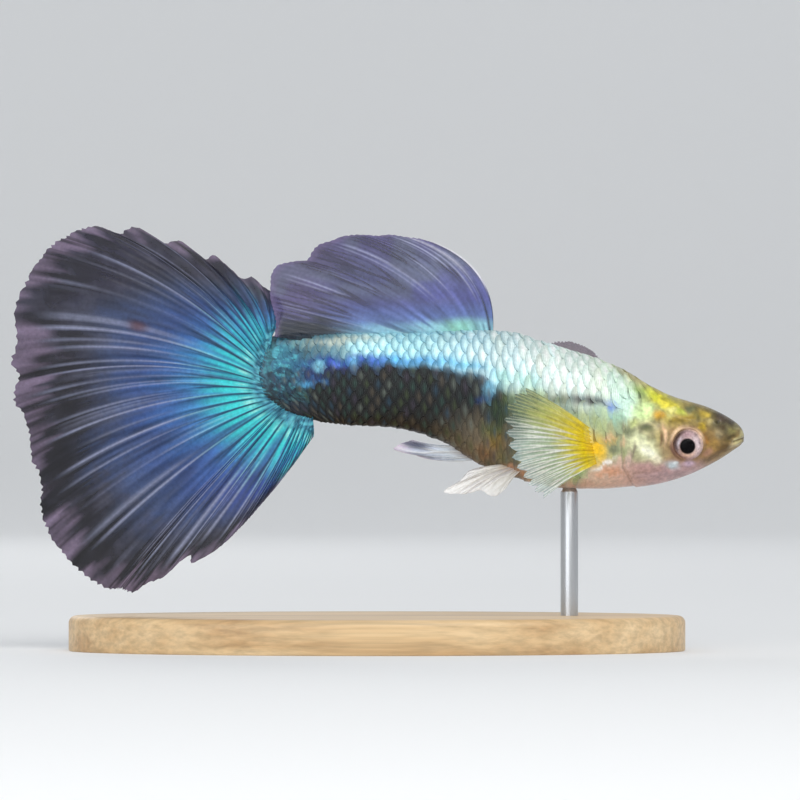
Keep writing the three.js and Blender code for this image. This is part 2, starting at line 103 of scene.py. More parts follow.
# The body's stations from the tail stem to the snout: x, height of the back, height of the belly, half width,
# height of the widest level, and how full the upper and lower halves of the section are.
STATIONS = np.array(
    [
        [-9.0, 5.7, 0.6, 0.42, 2.95, 2.0, 2.0],
        [-6.3, 5.88, -0.04, 0.62, 2.85, 2.0, 2.0],
        [-3.2, 5.84, -0.2, 0.98, 2.75, 2.0, 2.0],
        [1.0, 5.84, -0.42, 1.45, 2.6, 2.0, 2.0],
        [4.3, 5.97, -1.3, 1.85, 2.3, 2.0, 2.0],
        [7.0, 6.08, -2.93, 2.22, 1.6, 2.0, 2.0],
        [9.1, 5.95, -3.72, 2.48, 1.1, 2.1, 2.0],
        [11.1, 5.36, -4.3, 2.68, 0.6, 2.1, 2.1],
        [13.1, 4.75, -4.62, 2.8, 0.1, 2.2, 2.1],
        [15.2, 4.08, -4.66, 2.84, -0.4, 2.3, 2.1],
        [16.9, 3.34, -4.54, 2.76, -0.8, 2.4, 2.0],
        [18.6, 2.34, -4.33, 2.58, -1.1, 2.5, 2.0],
        [20.3, 1.58, -4.0, 2.32, -1.25, 2.6, 2.0],
        [21.3, 1.28, -3.68, 2.14, -1.3, 2.6, 2.0],
        [22.3, 0.98, -3.22, 1.88, -1.25, 2.6, 2.0],
        [23.4, 0.5, -2.62, 1.52, -1.15, 2.5, 2.1],
        [24.3, -0.04, -2.02, 1.12, -1.12, 2.4, 2.2],
        [24.75, -0.44, -1.7, 0.76, -1.12, 2.2, 2.2],
        [24.94, -0.78, -1.45, 0.42, -1.14, 2.0, 2.0],
        [25.0, -1.06, -1.24, 0.14, -1.15, 2.0, 2.0],
    ]
)
COLUMN = {"back": 1, "belly": 2, "half_width": 3, "level": 4, "back_fullness": 5, "belly_fullness": 6}
TAIL_X = STATIONS[0, 0]
SNOUT_X = STATIONS[-1, 0]

# The rear edge of the gill cover, from the nape to the throat.
GILL_EDGE = np.array([[18.1, 4.6], [17.6, 2.6], [16.95, 0.6], [16.6, -1.3], [16.75, -3.2], [17.6, -4.6], [18.2, -5.6]])

# Where the tail fin's rays leave the stem, and the tail fin's edge, both from top to bottom.
TAIL_ROOT = np.array([[-7.25, 5.95], [-7.75, 4.75], [-8.05, 3.25], [-7.8, 1.7], [-6.6, 0.6], [-4.4, -0.3]])
TAIL_EDGE = np.array(
    [
        [-6.4, 7.3],
        [-6.6, 8.1],
        [-7.15, 8.65],
        [-7.8, 9.1],
        [-8.5, 9.75],
        [-9.2, 9.6],
        [-9.85, 10.2],
        [-10.6, 10.85],
        [-11.15, 11.25],
        [-11.65, 10.95],
        [-12.3, 11.45],
        [-13.0, 11.95],
        [-13.5, 12.3],
        [-14.25, 12.2],
        [-14.8, 11.95],
        [-15.3, 12.5],
        [-16.0, 13.0],
        [-16.5, 13.25],
        [-17.1, 13.05],
        [-17.5, 12.7],
        [-18.4, 13.0],
        [-19.2, 13.25],
        [-20.8, 12.9],
        [-22.3, 11.85],
        [-23.5, 10.4],
        [-24.5, 8.5],
        [-24.85, 7.1],
        [-24.65, 5.3],
        [-24.95, 4.0],
        [-24.5, 2.9],
        [-24.95, 1.3],
        [-24.25, 0.5],
        [-23.9, -0.9],
        [-23.75, -2.2],
        [-23.15, -3.7],
        [-22.95, -4.8],
        [-23.05, -5.9],
        [-22.75, -7.2],
        [-21.85, -8.5],
        [-21.0, -9.7],
        [-20.05, -10.55],
        [-19.25, -11.1],
        [-18.3, -11.6],
        [-17.5, -11.6],
        [-16.65, -11.8],
        [-15.85, -11.25],
        [-14.75, -10.8],
        [-14.05, -10.25],
        [-13.35, -9.6],
        [-12.65, -9.3],
        [-12.85, -9.85],
        [-12.0, -9.5],
        [-10.4, -8.4],
        [-7.8, -5.65],
        [-5.75, -3.1],
        [-4.3, -1.0],
    ]
)
DORSAL_ROOT_X = (7.85, 1.35)
DORSAL_EDGE = np.array(
    [
        [3.8, 12.15],
        [2.9, 12.45],
        [1.8, 12.55],
        [0.9, 12.7],
        [-0.1, 12.6],
        [-1.5, 12.7],
        [-2.4, 12.6],
        [-3.2, 12.3],
        [-4.0, 12.05],
        [-4.55, 11.55],
        [-4.95, 11.0],
        [-5.5, 10.9],
        [-6.25, 10.8],
        [-6.85, 10.5],
        [-7.15, 9.95],
        [-7.3, 9.2],
        [-7.25, 8.4],
        [-7.0, 7.4],
        [-6.85, 6.6],
        [-7.0, 5.7],
    ]
)
ANAL_ROOT_X = (5.7, 7.3)
ANAL_EDGE = np.array([[2.6, -1.35], [1.5, -1.55], [0.85, -1.95], [1.6, -2.2], [3.3, -2.6]])
PELVIC_ROOT_X = (8.7, 9.8)
PELVIC_SIDE = 0.95
PELVIC_SPLAY = math.tan(math.radians(14))
PELVIC_EDGE = np.array(
    [
        [6.9, -3.3],
        [6.15, -3.5],
        [5.65, -4.1],
        [4.45, -4.85],
        [5.3, -5.1],
        [6.3, -4.95],
        [7.15, -4.85],
        [8.0, -5.2],
        [8.8, -4.6],
    ]
)
BREAST_ROOT = {"x": 15.25, "top": -1.25, "bottom": -2.7}
BREAST_RIGHT_LENGTHS = [6.4, 7.3, 7.5, 7.2, 6.7, 5.9, 5.2, 4.5]
BREAST_LEFT_LENGTHS = [5.3, 6.75, 7.9, 8.4, 7.5, 6.4, 5.4, 4.5]
BREAST_FAN_DEG = (27, -32)
BREAST_RIGHT = {"sign": -1, "out": math.radians(33), "up": math.radians(3), "lengths": BREAST_RIGHT_LENGTHS}
BREAST_LEFT = {"sign": 1, "out": math.radians(30), "up": math.radians(63.5), "lengths": BREAST_LEFT_LENGTHS}


# The body's form.
def profile(name, x):
    """One station column at x, on a smooth curve that never overshoots its stations."""
    xs = STATIONS[:, 0]
    ys = STATIONS[:, COLUMN[name]]
    slopes = np.diff(ys) / np.diff(xs)
    before, after = slopes[:-1], slopes[1:]
    total = np.where(before + after == 0, 1, before + after)
    inner = np.where(before * after <= 0, 0, 2 * before * after / total)
    tangents = np.concatenate([slopes[:1], inner, slopes[-1:]])
    place = np.clip(x, xs[0], xs[-1])
    i = np.clip(np.searchsorted(xs, place, side="right") - 1, 0, len(xs) - 2)
    width = xs[i + 1] - xs[i]
    t = (place - xs[i]) / width
    return (
        ys[i] * (1 + 2 * t) * (1 - t) ** 2
        + tangents[i] * width * t * (1 - t) ** 2
        + ys[i + 1] * t * t * (3 - 2 * t)
        + tangents[i + 1] * width * t * t * (t - 1)
    )


CHEEK = {"x": 18.4, "z": -1.9, "length_x": 1.7, "length_z": 1.6, "rise": 0.16}


def cheek_rise(x, z):
    d = ((x - CHEEK["x"]) / CHEEK["length_x"]) ** 2 + ((z - CHEEK["z"]) / CHEEK["length_z"]) ** 2
    return CHEEK["rise"] * np.exp(-d * d)


def section_point(x, angle, grow=0.0):
    """A point of the body's section at x, turned by angle from the left side over the back, grown outward."""
    sine, cosine = np.sin(angle), np.cos(angle)
    upper = sine >= 0
    level = profile("level", x)
    reach = np.where(upper, profile("back", x) - level, level - profile("belly", x)) + grow
    power = 2 / np.where(upper, profile("back_fullness", x), profile("belly_fullness", x))
    z = level + np.sign(sine) * reach * np.abs(sine) ** power
    half_width = profile("half_width", x) + grow + cheek_rise(x, z)
    y = np.sign(cosine) * half_width * np.abs(cosine) ** power
    return np.stack(np.broadcast_arrays(x, y, z), axis=-1)


def flank_at(x, z):
    """Half the body's width at x and height z."""
    level = profile("level", x)
    upper = z >= level
    reach = np.where(upper, profile("back", x) - level, level - profile("belly", x))
    fullness = np.where(upper, profile("back_fullness", x), profile("belly_fullness", x))
    share = np.minimum(1, np.abs(z - level) / reach)
    return (profile("half_width", x) + cheek_rise(x, z)) * (1 - share**fullness) ** (1 / fullness)


REAR_BLEND_X = -2.0
STEM_END_SHARE = 0.35  # of the stem's width that is left at its very end


def round_the_stem(points):
    """Draws the rear of the body in to the rounded line where the tail fin's rays leave it."""
    x, y, z = points[..., 0], points[..., 1], points[..., 2]
    order = np.argsort(TAIL_ROOT[:, 1])
    end_x = np.interp(z, TAIL_ROOT[order, 1], TAIL_ROOT[order, 0])
    share = np.clip((x - TAIL_X) / (REAR_BLEND_X - TAIL_X), 0, 1)
    new_x = np.where(share < 1, lerp(end_x, REAR_BLEND_X, share), x)
    new_y = y * lerp(STEM_END_SHARE, 1, smooth(share, 0, 0.16))
    return np.stack([new_x, new_y, z], axis=-1)


# Angles on the section by their share of the way round it, from the belly over the left side and the back.
TABLE_X = np.linspace(TAIL_X, SNOUT_X, 260)
TABLE_SHARE = np.linspace(0, 1, 241)


def build_angle_table():
    turn = np.linspace(-np.pi / 2, 1.5 * np.pi, 721)
    table = np.zeros((len(TABLE_X), len(TABLE_SHARE)))
    for row, x in enumerate(TABLE_X):
        ring = section_point(np.full(len(turn), x), turn)
        steps = np.linalg.norm(np.diff(ring, axis=0), axis=1)
        travelled = np.concatenate([[0], np.cumsum(steps)])
        table[row] = np.interp(TABLE_SHARE, travelled / travelled[-1], turn)
    return table


ANGLES = build_angle_table()


def skin_at(x, share, grow=0.0):
    """The point of the skin at x, that share of the way round from the belly."""
    place = np.clip((x - TABLE_X[0]) / (TABLE_X[1] - TABLE_X[0]), 0, len(TABLE_X) - 1.001)
    row = place.astype(int)
    part = place - row
    column_place = np.clip(share, 0, 1) * (len(TABLE_SHARE) - 1)
    column = np.minimum(column_place.astype(int), len(TABLE_SHARE) - 2)
    side = column_place - column
    low = lerp(ANGLES[row, column], ANGLES[row, column + 1], side)
    high = lerp(ANGLES[row + 1, column], ANGLES[row + 1, column + 1], side)
    return section_point(x, lerp(low, high, part), grow)


# Meshes.
def place(points):
    """From the fish's millimetres to the frame's metres."""
    return (np.asarray(points) + [0, 0, SWIM_HEIGHT]) * MM


def grid_faces(rows, columns, offset=0, wrap=False):
    i = np.arange(rows - 1)[:, None]
    j = np.arange(columns if wrap else columns - 1)[None, :]
    a = offset + i * columns + j
    b = offset + i * columns + (j + 1) % columns
    return np.stack([a, b, b + columns, a + columns], axis=-1).reshape(-1, 4)


def closed_sheet_faces(rows, columns):
    """Faces of two grids of points, one behind the other, joined round their border."""
    count = rows * columns
    index = np.arange(count).reshape(rows, columns)
    border = np.concatenate([index[0, :-1], index[:-1, -1], index[-1, :0:-1], index[:0:-1, 0]])
    after = np.roll(border, -1)
    rim = np.stack([after, border, border + count, after + count], axis=-1)
    return np.concatenate([grid_faces(rows, columns), grid_faces(rows, columns, count)[:, ::-1], rim])


def volume_of(points, faces):
    a, b, c, d = (points[faces[:, k]] for k in range(4))
    first = np.einsum("ij,ij->i", a, np.cross(b, c))
    second = np.einsum("ij,ij->i", a, np.cross(c, d))
    return (first.sum() + second.sum()) / 6


SHARP_ANGLE = math.radians(50)


def make_piece(name, points, faces, material, paint=None, values=None, sharp=True):
    """A closed mesh piece. points are in metres, paint is a linear colour and values more numbers, by point."""
    if volume_of(points, faces) < 0:
        faces = faces[:, ::-1]
    # a quad whose first and last corners are one point is a triangle
    listed = [face[:3] if face[2] == face[3] else face for face in faces.tolist()]
    mesh = bpy.data.meshes.new(name)
    mesh.from_pydata(points.tolist(), [], listed)
    mesh.polygons.foreach_set("use_smooth", [True] * len(mesh.polygons))
    if sharp:
        mesh.set_sharp_from_angle(angle=SHARP_ANGLE)
    if paint is not None:
        layer = mesh.attributes.new("Paint", "FLOAT_COLOR", "POINT")
        opaque = np.concatenate([np.clip(paint, 0, 1), np.ones((len(paint), 1))], axis=1)
        layer.data.foreach_set("color", opaque.astype(np.float32).ravel())
    for key, numbers in (values or {}).items():
        layer = mesh.attributes.new(key, "FLOAT", "POINT")
        layer.data.foreach_set("value", np.asarray(numbers, np.float32).ravel())
    mesh.materials.append(material)
    piece = bpy.data.objects.new(name, mesh)
    bpy.context.scene.collection.objects.link(piece)
    return piece


def settle(piece, slot, *nodes):
    """The piece rides on the root and stands for these nodes, whose parts it hides. The slot is not used."""
    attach(piece, "root")
    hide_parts(*nodes)
    return piece


# Materials.
def new_material(name):
    material = bpy.data.materials.new(name)
    material.use_nodes = True
    nodes = material.node_tree.nodes
    return material, nodes, material.node_tree.links, nodes["Principled BSDF"]


def noise_node(nodes, links, scale, detail=3.0, roughness=0.55, stretch=(1, 1, 1)):
    """Noise in the object's own coordinates, in metres."""
    coordinates = nodes.new("ShaderNodeTexCoord")
    mapping = nodes.new("ShaderNodeMapping")
    mapping.inputs["Scale"].default_value = stretch
    noise = nodes.new("ShaderNodeTexNoise")
    noise.inputs["Scale"].default_value = scale
    noise.inputs["Detail"].default_value = detail
    noise.inputs["Roughness"].default_value = roughness
    links.new(coordinates.outputs["Object"], mapping.inputs["Vector"])
    links.new(mapping.outputs["Vector"], noise.inputs["Vector"])
    return noise


def range_node(nodes, links, source, low, high, from_low=0.3, from_high=0.7):
    node = nodes.new("ShaderNodeMapRange")
    node.inputs["From Min"].default_value = from_low
    node.inputs["From Max"].default_value = from_high
    node.inputs["To Min"].default_value = low
    node.inputs["To Max"].default_value = high
    links.new(source, node.inputs["Value"])
    return node.outputs["Result"]


def painted_colour(nodes, links, grain_scale, grain_low, grain_high):
    """The painted colour, lightened and darkened by a fine grain."""
    paint = nodes.new("ShaderNodeAttribute")
    paint.attribute_name = "Paint"
    grain = noise_node(nodes, links, grain_scale)
    level = range_node(nodes, links, grain.outputs["Fac"], grain_low, grain_high)
    product = nodes.new("ShaderNodeVectorMath")
    product.operation = "SCALE"
    links.new(paint.outputs["Color"], product.inputs[0])
    links.new(level, product.inputs["Scale"])
    return product.outputs["Vector"]


def add_bump(nodes, links, shader, source, distance, strength=1.0):
    node = nodes.new("ShaderNodeBump")
    node.inputs["Strength"].default_value = strength
    node.inputs["Distance"].default_value = distance
    links.new(source, node.inputs["Height"])
    links.new(node.outputs["Normal"], shader.inputs["Normal"])


def skin_material():
    """Wet skin: painted colours with fine pigment grains, and a shine that follows the silvery places."""
    material, nodes, links, shader = new_material("wet_skin")
    links.new(painted_colour(nodes, links, 4200, 0.82, 1.16), shader.inputs["Base Color"])
    shine = nodes.new("ShaderNodeAttribute")
    shine.attribute_name = "Shine"
    links.new(shine.outputs["Fac"], shader.inputs["Metallic"])
    grain = noise_node(nodes, links, 3800)
    links.new(range_node(nodes, links, grain.outputs["Fac"], 0.28, 0.5), shader.inputs["Roughness"])
    fine = noise_node(nodes, links, 5000, 4)
    add_bump(nodes, links, shader, fine.outputs["Fac"], 0.00004)
    shader.inputs["Specular IOR Level"].default_value = 0.4
    shader.inputs["Coat Weight"].default_value = 0.25
    shader.inputs["Coat Roughness"].default_value = 0.14
    return material


def scale_material():
    """Scales: painted colours, more metallic where the shine is, with fine growth rings as bump."""
    material, nodes, links, shader = new_material("scale_plates")
    links.new(painted_colour(nodes, links, 4600, 0.86, 1.12), shader.inputs["Base Color"])
    shine = nodes.new("ShaderNodeAttribute")
    shine.attribute_name = "Shine"
    links.new(shine.outputs["Fac"], shader.inputs["Metallic"])
    grain = noise_node(nodes, links, 5000)
    links.new(range_node(nodes, links, grain.outputs["Fac"], 0.32, 0.52), shader.inputs["Roughness"])
    ring = nodes.new("ShaderNodeAttribute")
    ring.attribute_name = "Ring"
    wave = nodes.new("ShaderNodeMath")
    wave.operation = "SINE"
    turns = nodes.new("ShaderNodeMath")
    turns.operation = "MULTIPLY"
    turns.inputs[1].default_value = 2 * math.pi * 9
    links.new(ring.outputs["Fac"], turns.inputs[0])
    links.new(turns.outputs["Value"], wave.inputs[0])
    add_bump(nodes, links, shader, wave.outputs["Value"], 0.000005)
    shader.inputs["Specular IOR Level"].default_value = 0.3
    shader.inputs["Coat Weight"].default_value = 0.12
    shader.inputs["Coat Roughness"].default_value = 0.16
    return material


def fin_material(name, alpha, speckle=0.15, roughness=0.38):
    """A fin's membrane and rays: painted colours, a fine speckle and crinkled bump, partly see-through."""
    material, nodes, links, shader = new_material(name)
    links.new(painted_colour(nodes, links, 4200, 1 - speckle, 1 + speckle), shader.inputs["Base Color"])
    grain = noise_node(nodes, links, 3000)
    level = range_node(nodes, links, grain.outputs["Fac"], roughness - 0.08, roughness + 0.12)
    links.new(level, shader.inputs["Roughness"])
    fine = noise_node(nodes, links, 5200, 4)
    add_bump(nodes, links, shader, fine.outputs["Fac"], 0.00003)
    shader.inputs["Alpha"].default_value = alpha
    shader.inputs["Specular IOR Level"].default_value = 0.25
    shader.inputs["Coat Weight"].default_value = 0.06
    shader.inputs["Coat Roughness"].default_value = 0.2
    return material


def eye_material():
    material, nodes, links, shader = new_material("wet_eye")
    links.new(painted_colour(nodes, links, 9000, 0.85, 1.15), shader.inputs["Base Color"])
    shine = nodes.new("ShaderNodeAttribute")
    shine.attribute_name = "Shine"
    links.new(shine.outputs["Fac"], shader.inputs["Metallic"])
    grain = noise_node(nodes, links, 5000)
    links.new(range_node(nodes, links, grain.outputs["Fac"], 0.25, 0.4), shader.inputs["Roughness"])
    shader.inputs["Specular IOR Level"].default_value = 0.08
    shader.inputs["Coat Weight"].default_value = 0.06
    shader.inputs["Coat Roughness"].default_value = 0.03
    return material


def wood_material():
    """Satin maple: long soft grain, thin dark fibres and a slightly uneven polish."""
    material, nodes, links, shader = new_material("maple")
    grain = noise_node(nodes, links, 300, 4, 0.55, (0.1, 2.0, 2.0))
    fibre = noise_node(nodes, links, 1100, 3, 0.6, (0.05, 2.4, 2.4))
    tone = nodes.new("ShaderNodeValToRGB")
    tone.color_ramp.elements[0].position = 0.3
    tone.color_ramp.elements[0].color = (*rgb(196, 158, 112), 1)
    tone.color_ramp.elements[1].position = 0.72
    tone.color_ramp.elements[1].color = (*rgb(231, 203, 160), 1)
    middle = tone.color_ramp.elements.new(0.5)
    middle.color = (*rgb(218, 186, 140), 1)
    links.new(grain.outputs["Fac"], tone.inputs["Fac"])
    level = range_node(nodes, links, fibre.outputs["Fac"], 0.82, 1.08, 0.35, 0.62)
    product = nodes.new("ShaderNodeVectorMath")
    product.operation = "SCALE"
    links.new(tone.outputs["Color"], product.inputs[0])
    links.new(level, product.inputs["Scale"])
    links.new(product.outputs["Vector"], shader.inputs["Base Color"])
    links.new(range_node(nodes, links, grain.outputs["Fac"], 0.38, 0.52), shader.inputs["Roughness"])
    add_bump(nodes, links, shader, fibre.outputs["Fac"], 0.00004)
    shader.inputs["Coat Weight"].default_value = 0.2
    shader.inputs["Coat Roughness"].default_value = 0.3
    return material


def steel_material():
    """Brushed steel with fine lines along the rod."""
    material, nodes, links, shader = new_material("brushed_steel")
    lines = noise_node(nodes, links, 3200, 3, 0.6, (1.0, 1.0, 0.03))
    tone = nodes.new("ShaderNodeValToRGB")
    tone.color_ramp.elements[0].color = (*rgb(182, 184, 187), 1)
    tone.color_ramp.elements[1].color = (*rgb(204, 206, 208), 1)
    links.new(lines.outputs["Fac"], tone.inputs["Fac"])
    links.new(tone.outputs["Color"], shader.inputs["Base Color"])
    links.new(range_node(nodes, links, lines.outputs["Fac"], 0.24, 0.38), shader.inputs["Roughness"])
    add_bump(nodes, links, shader, lines.outputs["Fac"], 0.000006)
    shader.inputs["Metallic"].default_value = 1.0
    return material


# The body's colours.
NEAR_BLACK = rgb(20, 23, 25)

BACK_STOPS = [
    (-9.0, rgb(52, 122, 144)),
    (-6.5, rgb(52, 98, 116)),
    (-4.6, rgb(78, 110, 120)),
    (-2.6, rgb(108, 146, 156)),
    (-1.2, rgb(188, 244, 252)),
    (0.4, rgb(180, 238, 248)),
    (3.0, rgb(172, 228, 240)),
    (6.0, rgb(190, 228, 236)),
    (9.0, rgb(204, 226, 226)),
    (12.0, rgb(226, 246, 242)),
    (14.5, rgb(226, 240, 226)),
    (16.5, rgb(208, 232, 212)),
    (18.0, rgb(186, 196, 140)),
    (19.5, rgb(184, 180, 96)),
    (21.0, rgb(158, 140, 78)),
    (22.5, rgb(122, 108, 62)),
    (25.0, rgb(118, 108, 68)),
]
FLANK_STOPS = [
    (8.0, rgb(104, 122, 96)),
    (10.0, rgb(160, 174, 112)),
    (12.5, rgb(170, 184, 120)),
    (14.5, rgb(176, 190, 150)),
    (16.5, rgb(170, 178, 134)),
    (18.5, rgb(178, 168, 124)),
    (20.0, rgb(160, 128, 84)),
    (22.0, rgb(148, 114, 60)),
    (25.0, rgb(132, 112, 66)),
]
BELLY_STOPS = [
    (8.0, rgb(124, 92, 62)),
    (10.0, rgb(184, 150, 126)),
    (12.5, rgb(190, 190, 140)),
    (14.5, rgb(224, 198, 178)),
    (17.0, rgb(208, 172, 160)),
    (19.0, rgb(186, 150, 150)),
    (21.5, rgb(176, 142, 142)),
    (23.0, rgb(138, 106, 70)),
    (25.0, rgb(126, 104, 66)),
]
# The dark flank reaches up to this height at each x, and forward to this x at each height.
DARK_TOP = ([-9.0, -5.2, 1.0, 3.0, 5.0, 7.0, 8.2, 9.4], [3.3, 3.5, 3.88, 3.72, 3.4, 2.8, 2.1, 1.4])
DARK_FRONT = ([-4.6, -3.4, -1.4, 0.5, 1.7, 2.8], [10.1, 9.7, 9.2, 9.3, 9.2, 8.2])
